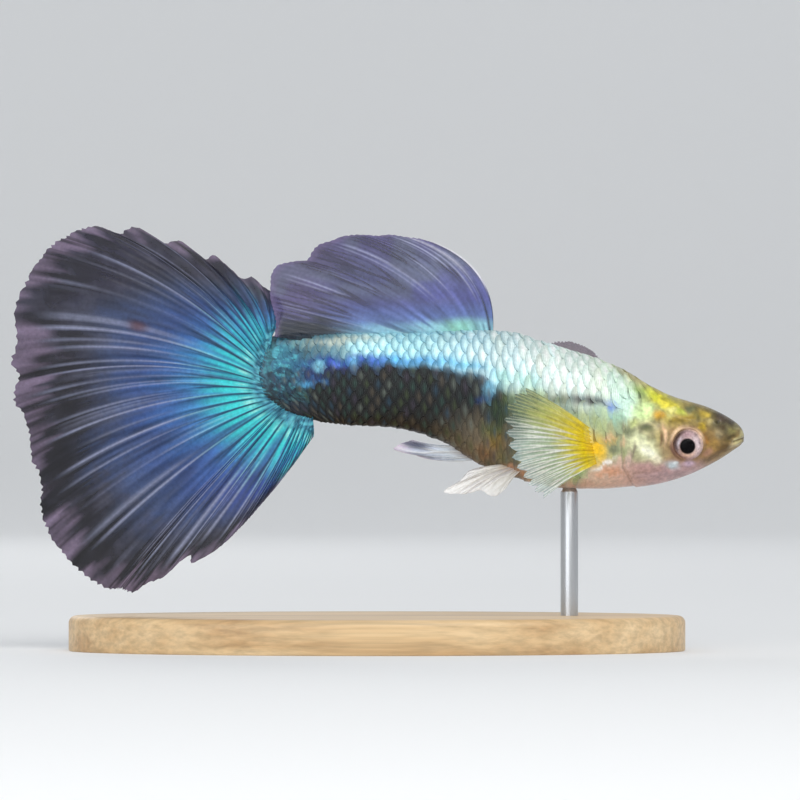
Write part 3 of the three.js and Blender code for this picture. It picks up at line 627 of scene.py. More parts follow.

# Markings on both flanks, with a few painted glints among them: x, z, half length, half height, tilt in degrees,
# colour, strength.
MARKINGS_AND_GLINTS = [
    # the blue band between the silver back and the dark flank
    (-3.4, 3.8, 2.6, 0.5, 4, rgb(14, 52, 142), 0.95),
    (-0.4, 4.05, 2.2, 0.36, 4, rgb(26, 76, 170), 0.95),
    (2.8, 4.1, 2.6, 0.34, -3, rgb(56, 144, 206), 0.9),
    (6.0, 3.75, 1.8, 0.34, -8, rgb(92, 176, 214), 0.8),
    (-4.6, 2.9, 1.1, 0.5, 0, rgb(28, 66, 132), 0.85),
    (-2.7, 3.72, 0.34, 0.3, 0, rgb(110, 140, 250), 0.95),
    (-1.5, 3.86, 0.32, 0.28, 0, rgb(128, 204, 252), 0.95),
    (0.1, 4.1, 0.26, 0.24, 0, rgb(96, 140, 240), 0.8),
    (1.4, 4.25, 0.26, 0.24, 0, rgb(96, 190, 244), 0.8),
    (-4.1, 3.7, 0.42, 0.26, 0, rgb(150, 226, 244), 0.9),
    (-4.8, 2.45, 0.55, 0.2, 0, rgb(96, 190, 250), 0.95),
    (-3.6, 2.6, 0.3, 0.18, 0, rgb(60, 140, 210), 0.8),
    # the stem's end
    (-6.4, 3.3, 1.2, 1.7, 0, rgb(60, 120, 150), 0.8),
    (-7.4, 4.7, 0.7, 0.7, 0, rgb(96, 196, 210), 0.85),
    (-7.7, 3.2, 0.5, 1.0, 0, rgb(104, 172, 200), 0.8),
    (-5.9, 1.0, 1.2, 0.7, 0, rgb(44, 58, 72), 0.7),
    # a pale stripe along the back behind the dorsal fin's foot
    (-2.4, 5.4, 2.8, 0.28, 2, rgb(196, 206, 192), 0.8),
    (-5.2, 5.3, 1.2, 0.35, 0, rgb(104, 122, 116), 0.6),
    # where the silver back meets the dark flank
    (7.65, 2.15, 0.42, 0.4, 30, rgb(140, 216, 250), 1.0),
    (7.2, 1.5, 0.5, 0.34, 30, rgb(18, 72, 140), 0.9),
    (8.5, 2.2, 0.45, 0.5, 0, rgb(150, 200, 204), 0.75),
    (8.5, 3.0, 0.7, 0.5, 0, rgb(150, 226, 226), 0.7),
    (10.2, 2.6, 1.2, 0.7, -10, rgb(176, 232, 220), 0.7),
    (8.3, 0.6, 0.7, 1.1, 0, rgb(34, 62, 46), 0.85),
    (8.9, 1.1, 0.4, 0.8, 0, rgb(112, 128, 70), 0.6),
    (7.9, -0.9, 0.8, 0.6, -20, rgb(96, 112, 50), 0.8),
    (8.1, -1.5, 0.6, 0.5, -30, rgb(176, 130, 44), 0.6),
    (7.5, -2.2, 0.8, 0.4, -32, rgb(160, 104, 52), 0.55),
    (8.6, -2.6, 0.6, 0.5, -20, rgb(130, 128, 78), 0.7),
    (6.9, -2.8, 1.8, 0.35, -32, rgb(128, 104, 82), 0.7),
    (9.4, -3.4, 0.9, 0.4, -20, rgb(218, 162, 126), 0.9),
    # the broken dark line above the breast fin, and its blue end
    (10.4, 1.6, 1.3, 0.5, 4, rgb(158, 174, 98), 0.95),
    (12.4, 1.55, 0.9, 0.4, -8, rgb(90, 98, 58), 0.95),
    (12.9, 0.9, 0.7, 0.24, -20, rgb(150, 170, 160), 0.7),
    (13.7, 1.45, 0.7, 0.3, -12, rgb(78, 82, 84), 0.95),
    (14.85, 1.25, 0.7, 0.3, -16, rgb(36, 28, 38), 1.0),
    (15.9, 0.98, 0.56, 0.36, -10, rgb(104, 134, 204), 0.95),
    (16.2, 0.2, 0.8, 0.5, 0, rgb(150, 204, 180), 0.7),
    (17.0, 1.3, 0.7, 0.9, 12, rgb(212, 250, 232), 0.85),
    (17.9, 0.7, 0.6, 0.6, 0, rgb(206, 236, 160), 0.8),
    (15.3, 0.5, 0.8, 0.4, 0, rgb(180, 208, 160), 0.6),
    # the yellow at the breast fin's foot
    (14.8, -1.9, 1.0, 1.05, 0, rgb(250, 200, 0), 1.0),
    (15.7, -1.3, 0.45, 0.3, 20, rgb(206, 156, 50), 0.85),
    # the lower flank and belly
    (13.3, -3.2, 1.0, 0.8, 0, rgb(158, 196, 126), 0.9),
    (14.3, -2.6, 0.5, 0.3, 0, rgb(120, 168, 88), 0.7),
    (12.6, -4.45, 3.2, 0.3, 0, rgb(206, 162, 144), 0.8),
    (15.8, -3.5, 1.0, 0.36, 4, rgb(216, 156, 120), 0.8),
    # a painted glint: the white streak by the breast fin
    (15.3, -2.95, 0.85, 0.14, 24, rgb(255, 250, 244), 1.0),
    (16.5, -2.9, 0.2, 0.5, 10, rgb(232, 196, 176), 0.8),
    (16.1, -1.9, 0.35, 0.4, 0, rgb(100, 110, 88), 0.8),
    (15.7, -1.15, 0.3, 0.2, 20, rgb(238, 196, 152), 0.9),
    (16.7, -1.45, 0.22, 0.3, 0, rgb(222, 184, 146), 0.7),
    (17.1, -0.8, 0.5, 0.3, -10, rgb(72, 82, 52), 0.85),
    (15.0, -0.3, 0.7, 0.4, -20, rgb(178, 190, 120), 0.6),
    # the nape and the top of the head
    (17.4, 3.0, 1.7, 0.3, -30, rgb(176, 164, 112), 0.9),
    (18.9, 2.2, 1.2, 0.25, -30, rgb(170, 160, 92), 0.8),
    (17.9, 1.9, 0.6, 0.4, -28, rgb(136, 170, 84), 0.8),
    (19.0, 1.65, 0.9, 0.45, -32, rgb(206, 202, 52), 1.0),
    (19.8, 1.1, 0.7, 0.34, -34, rgb(232, 218, 72), 1.0),
    (20.05, 0.7, 0.36, 0.16, -15, rgb(255, 248, 150), 1.0),
    (19.2, 0.32, 0.45, 0.34, -20, rgb(186, 142, 22), 1.0),
    (18.5, 0.9, 0.4, 0.34, 0, rgb(214, 240, 160), 0.8),
    (20.7, 0.1, 1.0, 0.26, 8, rgb(160, 132, 30), 0.9),
    (20.6, 0.62, 0.4, 0.24, -24, rgb(176, 186, 70), 0.8),
    (21.25, 0.8, 0.4, 0.28, -20, rgb(92, 96, 66), 0.95),
    (21.7, 0.3, 0.35, 0.2, -20, rgb(116, 108, 50), 0.8),
    (22.3, 0.4, 0.36, 0.26, -20, rgb(204, 176, 70), 0.9),
    (22.7, -0.07, 0.22, 0.2, 0, rgb(200, 180, 116), 0.8),
    (22.1, -0.45, 0.3, 0.4, 0, rgb(186, 156, 30), 0.9),
    (22.3, -1.3, 0.24, 0.4, 10, rgb(156, 106, 36), 0.8),
    # the snout
    (23.5, -0.45, 0.75, 0.6, -20, rgb(92, 86, 60), 0.9),
    (23.45, 0.2, 0.5, 0.3, -30, rgb(82, 66, 52), 1.0),
    (23.95, -0.06, 0.4, 0.22, -36, rgb(72, 62, 46), 1.0),
    (23.4, -0.5, 0.3, 0.24, 0, rgb(76, 58, 26), 0.9),
    (23.15, -0.95, 0.3, 0.34, -10, rgb(156, 140, 104), 0.85),
    (24.1, -0.75, 0.3, 0.26, -20, rgb(124, 116, 66), 0.9),
    (24.4, -0.45, 0.26, 0.16, -44, rgb(150, 142, 100), 0.8),
    (24.0, -1.2, 0.45, 0.2, 24, rgb(96, 78, 30), 0.95),
    (24.85, -1.0, 0.22, 0.4, -10, rgb(168, 160, 116), 0.9),
    (24.5, -1.42, 0.34, 0.16, 38, rgb(196, 186, 136), 1.0),
    (24.0, -1.72, 0.36, 0.13, 36, rgb(184, 166, 126), 0.9),
    (22.8, -1.7, 0.4, 0.5, 0, rgb(150, 116, 48), 0.7),
    (23.5, -1.9, 0.5, 0.28, 34, rgb(104, 74, 14), 0.9),
    (22.9, -2.45, 0.8, 0.2, 30, rgb(104, 76, 40), 0.8),
    (22.4, -2.2, 0.4, 0.25, 30, rgb(172, 124, 104), 0.7),
    # the cheek and gill cover
    (18.3, -0.5, 0.55, 0.26, -10, rgb(84, 92, 50), 0.95),
    (17.4, -0.2, 0.4, 0.3, 10, rgb(176, 186, 112), 0.8),
    (17.5, -1.75, 0.22, 0.3, 0, rgb(116, 108, 88), 0.8),
    (18.7, -1.3, 0.2, 0.4, 10, rgb(112, 110, 70), 0.8),
    (17.8, -1.3, 0.5, 0.4, 0, rgb(196, 206, 160), 0.7),
    (18.2, -1.95, 1.2, 0.68, -38, rgb(234, 236, 190), 1.0),
    # painted glints on the silvery cheek
    (18.4, -2.15, 0.75, 0.34, -38, rgb(255, 255, 228), 1.0),
    (19.0, -2.6, 0.34, 0.3, -30, rgb(250, 242, 210), 0.95),
    (19.0, -1.2, 0.26, 0.5, 8, rgb(190, 174, 110), 0.7),
    (19.5, -1.05, 0.13, 0.62, 4, rgb(236, 194, 152), 0.95),
    (19.22, -1.3, 0.1, 0.5, 4, rgb(128, 92, 58), 0.8),
    (17.3, -2.2, 0.12, 0.8, -14, rgb(120, 104, 92), 0.7),
    (17.0, -2.8, 0.16, 0.7, -10, rgb(222, 190, 180), 0.8),
    (18.3, -3.3, 1.1, 0.36, -8, rgb(186, 148, 144), 0.85),
    (20.1, -3.05, 0.5, 0.26, -14, rgb(192, 206, 212), 0.95),
    (20.3, -2.9, 0.16, 0.1, 0, rgb(240, 248, 250), 0.9),
    (21.2, -2.85, 0.45, 0.22, 10, rgb(190, 164, 184), 0.85),
    (19.3, -3.75, 2.0, 0.3, 6, rgb(182, 152, 154), 0.8),
]


def marked(colour, x, z, markings):
    for spot_x, spot_z, half_length, half_height, tilt, tint, strength in markings:
        c, s = math.cos(math.radians(tilt)), math.sin(math.radians(tilt))
        along = ((x - spot_x) * c + (z - spot_z) * s) / half_length
        across = (-(x - spot_x) * s + (z - spot_z) * c) / half_height
        reach = along**2 + across**2
        colour = mix(colour, tint, strength * np.exp(-(reach**1.5)))
    return colour


def wandering(x, z):
    """Places moved about a little, so that no marking keeps an even outline."""
    reach = lerp(0.5, 0.24, smooth(x, 15, 17.5))
    size = lerp(0.8, 0.45, smooth(x, 15, 17.5))
    moved_x = x + reach * (value_noise(x / size, z / size, 31) - 0.5)
    moved_z = z + reach * (value_noise(x / size + 40, z / size, 32) - 0.5)
    return moved_x, moved_z


def dark_share(x, z):
    """How far a place lies inside the dark flank."""
    below = smooth(np.interp(x, *DARK_TOP) - z, -0.28, 0.28)
    behind = smooth(np.interp(z, *DARK_FRONT) - x, -0.6, 0.6)
    return below * behind


def speckled(colour, x, y, z):
    """Small cells of lighter and darker pigment, strongest on the head and on the stem's end."""
    blotch = value_noise(x / 0.42 + 0.6 * np.sign(y), z / 0.36, 1)
    cell = value_noise(x / 0.2, z / 0.18 + 3 * np.sign(y), 2)
    on_head = smooth(x, 15.5, 17.5) * (1 - 0.6 * smooth(-z, 1.2, 2.6))
    colour = colour * (1 + on_head * (0.6 * (blotch - 0.5) + 0.5 * (cell - 0.5)))[..., None]
    on_stem = 1 - smooth(x, -5.8, -4.4)
    net = 0.5 * value_noise(x / 0.13, z / 0.1, 3) + 0.5 * value_noise(x / 0.3, z / 0.22, 4)
    colour = mix(colour, rgb(14, 40, 66), 0.65 * on_stem * smooth(0.48 - net, 0, 0.16))
    bright = smooth(z, 0.6, 2.4) * (1 - 0.7 * smooth(z, 4.4, 5.2) * smooth(x, -7.0, -6.4))
    return mix(colour, rgb(104, 212, 226), 0.75 * on_stem * smooth(net, 0.56, 0.72) * bright)


def body_colour(true_x, y, true_z):
    x, z = wandering(true_x, true_z)
    back = ramp(x, BACK_STOPS)
    flank = ramp(x, FLANK_STOPS)
    belly = ramp(x, BELLY_STOPS)
    turn = np.interp(x, [8, 11, 14, 16.5, 19, 21, 25], [1.2, 1.4, 0.9, 0.1, 0.2, -0.2, -0.6])
    colour = mix(back, flank, smooth(turn - z, -0.45, 0.7) * smooth(x, 8.0, 9.5))
    colour = mix(colour, belly, smooth(-z, 2.3, 3.3) * smooth(x, 8.0, 9.5))
    dark = dark_share(x, z)
    colour = mix(colour, NEAR_BLACK, dark)
    # a deep teal line runs between the silver back and the dark flank
    colour = mix(colour, rgb(14, 58, 92), 2.6 * dark * (1 - dark) * smooth(z, 1.6, 2.4))
    low_tone = mix(np.broadcast_to(rgb(46, 38, 32), colour.shape), rgb(142, 130, 106), smooth(x, 2.5, 7.0))
    colour = mix(colour, low_tone, 0.85 * dark * smooth(1.4 - z, 0, 3.2))
    return speckled(marked(colour, x, z, MARKINGS_AND_GLINTS), x, y, z)


def body_shine(x, z):
    """Metallic share: highest on the silver back, low on the dark flank and the snout."""
    silver = smooth(z, 0.6, 2.4) * (1 - smooth(x, 17, 19.5))
    return 0.06 + 0.14 * silver * (1 - dark_share(x, z))


# The skin: one form from the snout to the end of the tail stem.
SOCKET_RADIUS = 0.98
MOUTH_LINE = ((25.05, -1.16), (24.25, -1.46))
NOSTRIL = {"x": 23.15, "z": -0.1, "radius": 0.13}


def distance_to_line(x, z, start, end):
    dx, dz = end[0] - start[0], end[1] - start[1]
    length = math.hypot(dx, dz)
    along = np.clip(((x - start[0]) * dx + (z - start[1]) * dz) / length**2, 0, 1)
    signed = ((x - start[0]) * dz - (z - start[1]) * dx) / length
    beyond = np.hypot(x - start[0] - along * dx, z - start[1] - along * dz)
    return signed, beyond


def gill_line(z):
    order = np.argsort(GILL_EDGE[:, 1])
    return np.interp(z, GILL_EDGE[order, 1], GILL_EDGE[order, 0])


def eye_distance(x, z):
    return np.hypot(x - EYE["x"], z - EYE["z"])


def eye_bearing(x, z):
    """The direction from the eye's centre in degrees: 0 is toward the snout and 90 is up."""
    return np.degrees(np.arctan2(z - EYE["z"], x - EYE["x"]))


def turned_bump(bearing, centre, width):
    return bump_at((bearing - centre + 180) % 360 - 180, 0, width)


def relief(x, z):
    """How far the skin stands out of the plain section: gill cover, cheek creases, orbit, nostrils and mouth."""
    ahead = x - gill_line(z)
    lid = 0.1 * smooth(ahead, -0.05, 0.16) * (1 - smooth(ahead, 1.2, 4.2)) * (1 - smooth(z, 0.5, 1.5))
    crease_x = 19.45 + 0.07 * (z + 1.4) ** 2
    in_cheek = smooth(z, -3.9, -3.2) * (1 - smooth(z, -0.7, -0.2))
    crease = -0.09 * bump_at(x, crease_x, 0.1) * in_cheek
    lobe = 0.06 * bump_at(x, crease_x - 0.35, 0.25) * in_cheek
    throat = -0.05 * bump_at(z, -3.45 + 0.12 * (x - 19), 0.1) * smooth(x, 17.2, 17.8) * (1 - smooth(x, 20.2, 21.2))
    from_eye = eye_distance(x, z)
    orbit = 0.06 * bump_at(from_eye, SOCKET_RADIUS + 0.1, 0.09) - 0.04 * bump_at(from_eye, SOCKET_RADIUS + 0.32, 0.12)
    socket = -0.6 * (1 - smooth(from_eye, SOCKET_RADIUS - 0.1, SOCKET_RADIUS + 0.02))
    pit_distance = np.hypot(x - NOSTRIL["x"], z - NOSTRIL["z"])
    nostril = -0.16 * bump_at(pit_distance, 0, NOSTRIL["radius"]) + 0.04 * bump_at(pit_distance, 0.22, 0.07)
    signed, beyond = distance_to_line(x, z, *MOUTH_LINE)
    cleft = -0.13 * np.exp(-((beyond / 0.06) ** 2))
    lips = 0.08 * (bump_at(signed, 0.17, 0.1) + bump_at(signed, -0.17, 0.1)) * bump_at(beyond, 0.17, 0.2)
    brow = 0.05 * bump_at(z, 0.0 - 0.2 * (x - 21.2), 0.25) * bump_at(x, 21.1, 1.4)
    return lid + crease + lobe + throat + orbit + socket + nostril + cleft + lips + brow


SKIN_AROUND = 240


def build_skin(material):
    xs = np.concatenate(
        [
            np.arange(TAIL_X, 16.0, 0.14),
            np.arange(16.0, 24.2, 0.055),
            24.2 + (SNOUT_X - 24.2) * np.sin(np.linspace(0, np.pi / 2, 26)),
        ]
    )
    share = (np.arange(SKIN_AROUND) + 0.5) / SKIN_AROUND
    grid_x, grid_share = np.meshgrid(xs, share, indexing="ij")
    plain = skin_at(grid_x, grid_share)
    raised = skin_at(grid_x, grid_share, relief(grid_x, plain[..., 2]))
    points = round_the_stem(raised)
    ends = np.stack([points[0].mean(axis=0), points[-1].mean(axis=0) + [0.02, 0, 0]])
    flat = np.concatenate([points.reshape(-1, 3), ends])
    faces = grid_faces(len(xs), SKIN_AROUND, wrap=True)
    ring = np.arange(SKIN_AROUND)
    after = (ring + 1) % SKIN_AROUND
    last = (len(xs) - 1) * SKIN_AROUND
    rear = np.full(SKIN_AROUND, len(flat) - 2)
    front = np.full(SKIN_AROUND, len(flat) - 1)
    caps = [np.stack([after, ring, rear, rear], axis=-1), np.stack([ring + last, after + last, front, front], axis=-1)]
    faces = np.concatenate([faces, *caps])
    x, z = flat[:, 0], flat[:, 2]
    paint = body_colour(x, flat[:, 1], z)
    # painted shade: the skin is darkened where the scales lie over it
    under_scales_shade = smooth(scale_front(z) - x, -0.2, 0.3)
    paint = mix(paint, paint * 0.45, under_scales_shade)
    # the orbit is rose-brown below the eye, with a painted highlight in cream above it and painted shade round the
    # socket's edge
    from_eye = eye_distance(x, z)
    bearing = eye_bearing(x, z)
    by_eye = 1 - smooth(from_eye, SOCKET_RADIUS + 0.16, SOCKET_RADIUS + 0.34)
    paint = mix(paint, rgb(140, 104, 64), 0.5 * by_eye)
    # painted highlight: cream arcs along the orbit's upper rim
    paint = mix(paint, rgb(250, 212, 166), 0.95 * turned_bump(bearing, 138, 36) * bump_at(from_eye, 1.12, 0.13))
    paint = mix(paint, rgb(214, 178, 160), 0.8 * turned_bump(bearing, 85, 22) * bump_at(from_eye, 1.0, 0.1))
    paint = mix(paint, rgb(242, 204, 166), 0.9 * turned_bump(bearing, 38, 28) * bump_at(from_eye, 1.08, 0.12))
    paint = mix(paint, rgb(116, 78, 66), 0.85 * by_eye * turned_bump(bearing, 208, 44))
    # painted shade where the skin dips into the socket round the eyeball
    paint = mix(paint, rgb(90, 64, 54), 0.5 * (1 - smooth(from_eye, SOCKET_RADIUS - 0.08, SOCKET_RADIUS + 0.02)))
    # painted shade darkens the nostril pits and the mouth's cleft
    pit = np.hypot(x - NOSTRIL["x"], z - NOSTRIL["z"])
    paint = mix(paint, rgb(44, 38, 30), 0.7 * bump_at(pit, 0, NOSTRIL["radius"]))
    _, beyond = distance_to_line(x, z, *MOUTH_LINE)
    paint = mix(paint, rgb(84, 62, 38), 0.65 * np.exp(-((beyond / 0.07) ** 2)))
    # painted shade in the crease just behind the gill cover's raised rear edge
    gill_edge_shade = bump_at(x - gill_line(z), -0.08, 0.07) * (1 - smooth(z, -0.2, 0.6))
    paint = mix(paint, rgb(110, 84, 72), 0.35 * gill_edge_shade)
    return make_piece("guppy_skin", place(flat), faces, material, paint, {"Shine": body_shine(x, z)}, sharp=False)


# The scales: overlapping plates in rows that run the length of the body.
SCALE_ROWS = 26
SCALE_PITCH = 0.79
SCALE_REAR_X = -7.6
SCALE_LENGTH = 1.5  # in pitches
SCALE_ROOT = 0.78  # the root lies this many pitches ahead of the scale's place
SCALE_HALF_WIDTH = 1.02  # in rows
SCALE_STEPS = 8
SCALE_ACROSS = 11
SCALE_THICKNESS = 0.05


def scale_front(z):
    """How far forward the scales reach at height z: over the nape, to the gill cover, and behind the breast fin."""
    nape = np.interp(z, [0.9, 1.5, 2.4], [0, 18.9, 19.6])
    flank = np.interp(z, [-1.7, -1.1], [14.0, 16.5])
    return np.maximum(np.minimum(flank, gill_line(z) - 0.1), nape)


def scale_places():
    places = []
    for row in range(SCALE_ROWS):
        start = SCALE_REAR_X + (0.5 * SCALE_PITCH if row % 2 else 0)
        for x in np.arange(start, 21, SCALE_PITCH):
            places.append((x, row / SCALE_ROWS))
    centres = np.array(places)
    z = skin_at(centres[:, 0], centres[:, 1])[:, 2]
    return centres[centres[:, 0] < scale_front(z) + 0.2]


def build_scales(name, centres, material, seed):
    draw = np.random.default_rng(seed)
    count = len(centres)
    along = np.linspace(0, 1, SCALE_STEPS)[None, :, None]
    across = np.linspace(-1, 1, SCALE_ACROSS)[None, None, :]
    centre_x = centres[:, 0][:, None, None]
    centre_share = centres[:, 1][:, None, None]
    jitter = draw.normal(0, 1, (5, count, 1, 1))
    length = SCALE_LENGTH * SCALE_PITCH * (1 + 0.03 * jitter[0])
    reach = length * (0.7 + 0.3 * np.sqrt(np.clip(1 - across**2, 0, 1)))
    x = centre_x + SCALE_ROOT * SCALE_PITCH - along * reach
    width = SCALE_HALF_WIDTH / SCALE_ROWS * (0.86 + 0.14 * smooth(along, 0, 0.5))
    share = centre_share + across * width + 0 * x
    lift = -0.05 + 0.17 * smooth(along, 0, 1.15) * (1 + 0.12 * jitter[1]) - 0.03 * across**2 * along
    # the scales lie flatter toward the head
    middle = skin_at(centres[:, 0] - 0.2, centres[:, 1])
    flatter = np.clip((scale_front(middle[:, 2]) + 0.3 - centres[:, 0]) / 2.6, 0.25, 1)
    lift = lift * flatter[:, None, None]
    wrapped = share % 1.0
    top = round_the_stem(skin_at(x, wrapped, lift))
    under = round_the_stem(skin_at(x, wrapped, lift - SCALE_THICKNESS))
    points = np.concatenate([top.reshape(count, -1, 3), under.reshape(count, -1, 3)], axis=1)
    per_scale = points.shape[1]
    pattern = closed_sheet_faces(SCALE_STEPS, SCALE_ACROSS)
    faces = (pattern[None] + (np.arange(count) * per_scale)[:, None, None]).reshape(-1, 4)

    # one tone for each scale, blended with the body's colour at each point
    flat = points.reshape(-1, 3)
    own = np.repeat(body_colour(*middle.T), per_scale, axis=0)
    local = body_colour(*flat.T)
    paint = lerp(local, own, 0.25)
    in_dark = dark_share(*wandering(flat[:, 0], flat[:, 2]))
    picked_sheen = np.repeat(DARK_SHEEN_TINTS[draw.integers(0, len(DARK_SHEEN_TINTS), count)], per_scale, axis=0)
    level = np.repeat(np.clip(1 + 0.08 * jitter[2].ravel(), 0.8, 1.2), per_scale)
    paint = paint * level[:, None]
    warmth = np.repeat(0.03 * jitter[3].ravel(), per_scale)
    paint = paint * np.stack([1 + warmth, np.ones_like(warmth), 1 - warmth], axis=-1)

    # a dark line of pigment follows each free edge, and the middle of each scale gets a painted sheen: tinted in the
    # dark flank, pale on the silver back
    end = np.broadcast_to(along + 0 * across, x.shape).reshape(count, -1)
    side = np.broadcast_to(across + 0 * along, x.shape).reshape(count, -1)
    end = np.concatenate([end, end], axis=1).ravel()
    side = np.concatenate([side, side], axis=1).ravel()
    fx, fz = flat[:, 0], flat[:, 2]
    # painted sheen: a tinted lighter middle on each scale of the dark flank
    tinted_sheen = bump_at(end, 0.72, 0.14) * bump_at(side, 0, 0.55)
    paint = mix(paint, picked_sheen, 0.75 * in_dark * tinted_sheen)
    # painted sheen: a pale bright middle on each scale of the silver back
    pale_sheen = bump_at(end, 0.7, 0.16) * bump_at(side, 0, 0.5) * smooth(fz, 1.0, 2.5) * smooth(fx, -3, 0)
    paint = mix(paint, np.minimum(1, paint * 1.35 + 0.05), 0.8 * pale_sheen * (1 - in_dark))
    rim = smooth(end, 0.76, 0.98) * (1 - 0.5 * side**2)
    rim_colour = mix(rgb(48, 112, 138), rgb(126, 156, 156), smooth(fx, 6, 12))
    rim_colour = mix(rim_colour, rgb(10, 12, 15), in_dark)
    rim_strength = lerp(0.66, 0.42, smooth(fx, 7, 12)) * (1 - 0.8 * smooth(fx, 13.5, 16.5))
    paint = mix(paint, rim_colour, rim * np.maximum(rim_strength, 0.6 * in_dark))
    # painted shade on each scale's root, where the scale ahead lies over it
    root = 1 - smooth(end, 0.3, 0.55)
    paint = mix(paint, paint * 0.6, 0.7 * root)
    shine = body_shine(fx, fz) * (1 - 0.6 * rim)
    piece = make_piece(name, place(flat), faces, material, paint, {"Shine": shine, "Ring": end})
    add_bake_map(piece, centres, per_scale, end)
    return piece


# tints of the painted sheen on the dark flank's scales
DARK_SHEEN_TINTS = np.array(
    [rgb(44, 72, 64), rgb(38, 66, 84), rgb(80, 72, 60), rgb(62, 56, 70), rgb(36, 50, 48), rgb(96, 104, 96), rgb(60, 72, 46)]
)
PATCH = 0.003  # how wide one scale lies on the bake map


def add_bake_map(piece, centres, per_scale, end):
    """Each scale is a small patch at its own place on the unrolled skin."""
    u = 0.04 + 0.92 * (centres[:, 0] - TAIL_X) / (SNOUT_X - TAIL_X)
    v = 0.04 + 0.9 * centres[:, 1]
    half = per_scale // 2
    across = np.tile(np.linspace(-1, 1, SCALE_ACROSS), SCALE_STEPS * 2)
    layer_side = np.repeat([0.0, 1.2 * PATCH], half)
    point_u = np.repeat(u, per_scale) + PATCH * end
    point_v = np.repeat(v, per_scale) + np.tile(PATCH / 2 * across + layer_side, len(centres))
    corners = np.zeros(len(piece.data.loops), dtype=np.int32)
    piece.data.loops.foreach_get("vertex_index", corners)
    layer = piece.data.uv_layers.new(name="OFBake")
    layer.data.foreach_set("uv", np.stack([point_u[corners], point_v[corners]], axis=-1).astype(np.float32).ravel())


# Fins.
def spline(points, samples=1500):
    """A smooth line through the points, with the share of the way along it at each place."""
    last = len(points) - 1
    p = np.linspace(0, last, samples)
    i = np.minimum(p.astype(int), last)
    w = (p - i)[:, None]
    before, here = points[np.maximum(i - 1, 0)], points[i]
    after, later = points[np.minimum(i + 1, last)], points[np.minimum(i + 2, last)]
    v0, v1 = (after - before) / 2, (later - here) / 2
    line = (2 * here - 2 * after + v0 + v1) * w**3 + (-3 * here + 3 * after - 2 * v0 - v1) * w**2 + v0 * w + here
    travelled = np.concatenate([[0], np.cumsum(np.linalg.norm(np.diff(line, axis=0), axis=1))])
    return line, travelled / travelled[-1]


def along_line(points, t, y=0.0):
    line, travelled = spline(points)
    clipped = np.clip(t, 0, 1)
    x = np.interp(clipped, travelled, line[:, 0])
    z = np.interp(clipped, travelled, line[:, 1])
    return np.stack([x, np.full_like(x, y), z], axis=-1)


def branch_ridge(u, phase, first, second, start_width, end_width):
    """How high a ray and its branches stand, at a place across one ray from -0.5 to 0.5."""
    spread_one = 0.25 * smooth(u, *first)
    spread_two = 0.125 * smooth(u, *second)
    width = lerp(start_width, end_width, smooth(u, first[0], second[1]))
    height = np.zeros_like(phase)
    for big in (-1, 1):
        for small in (-1, 1):
            height = np.maximum(height, bump_at(phase, big * spread_one + small * spread_two, width))
    return height


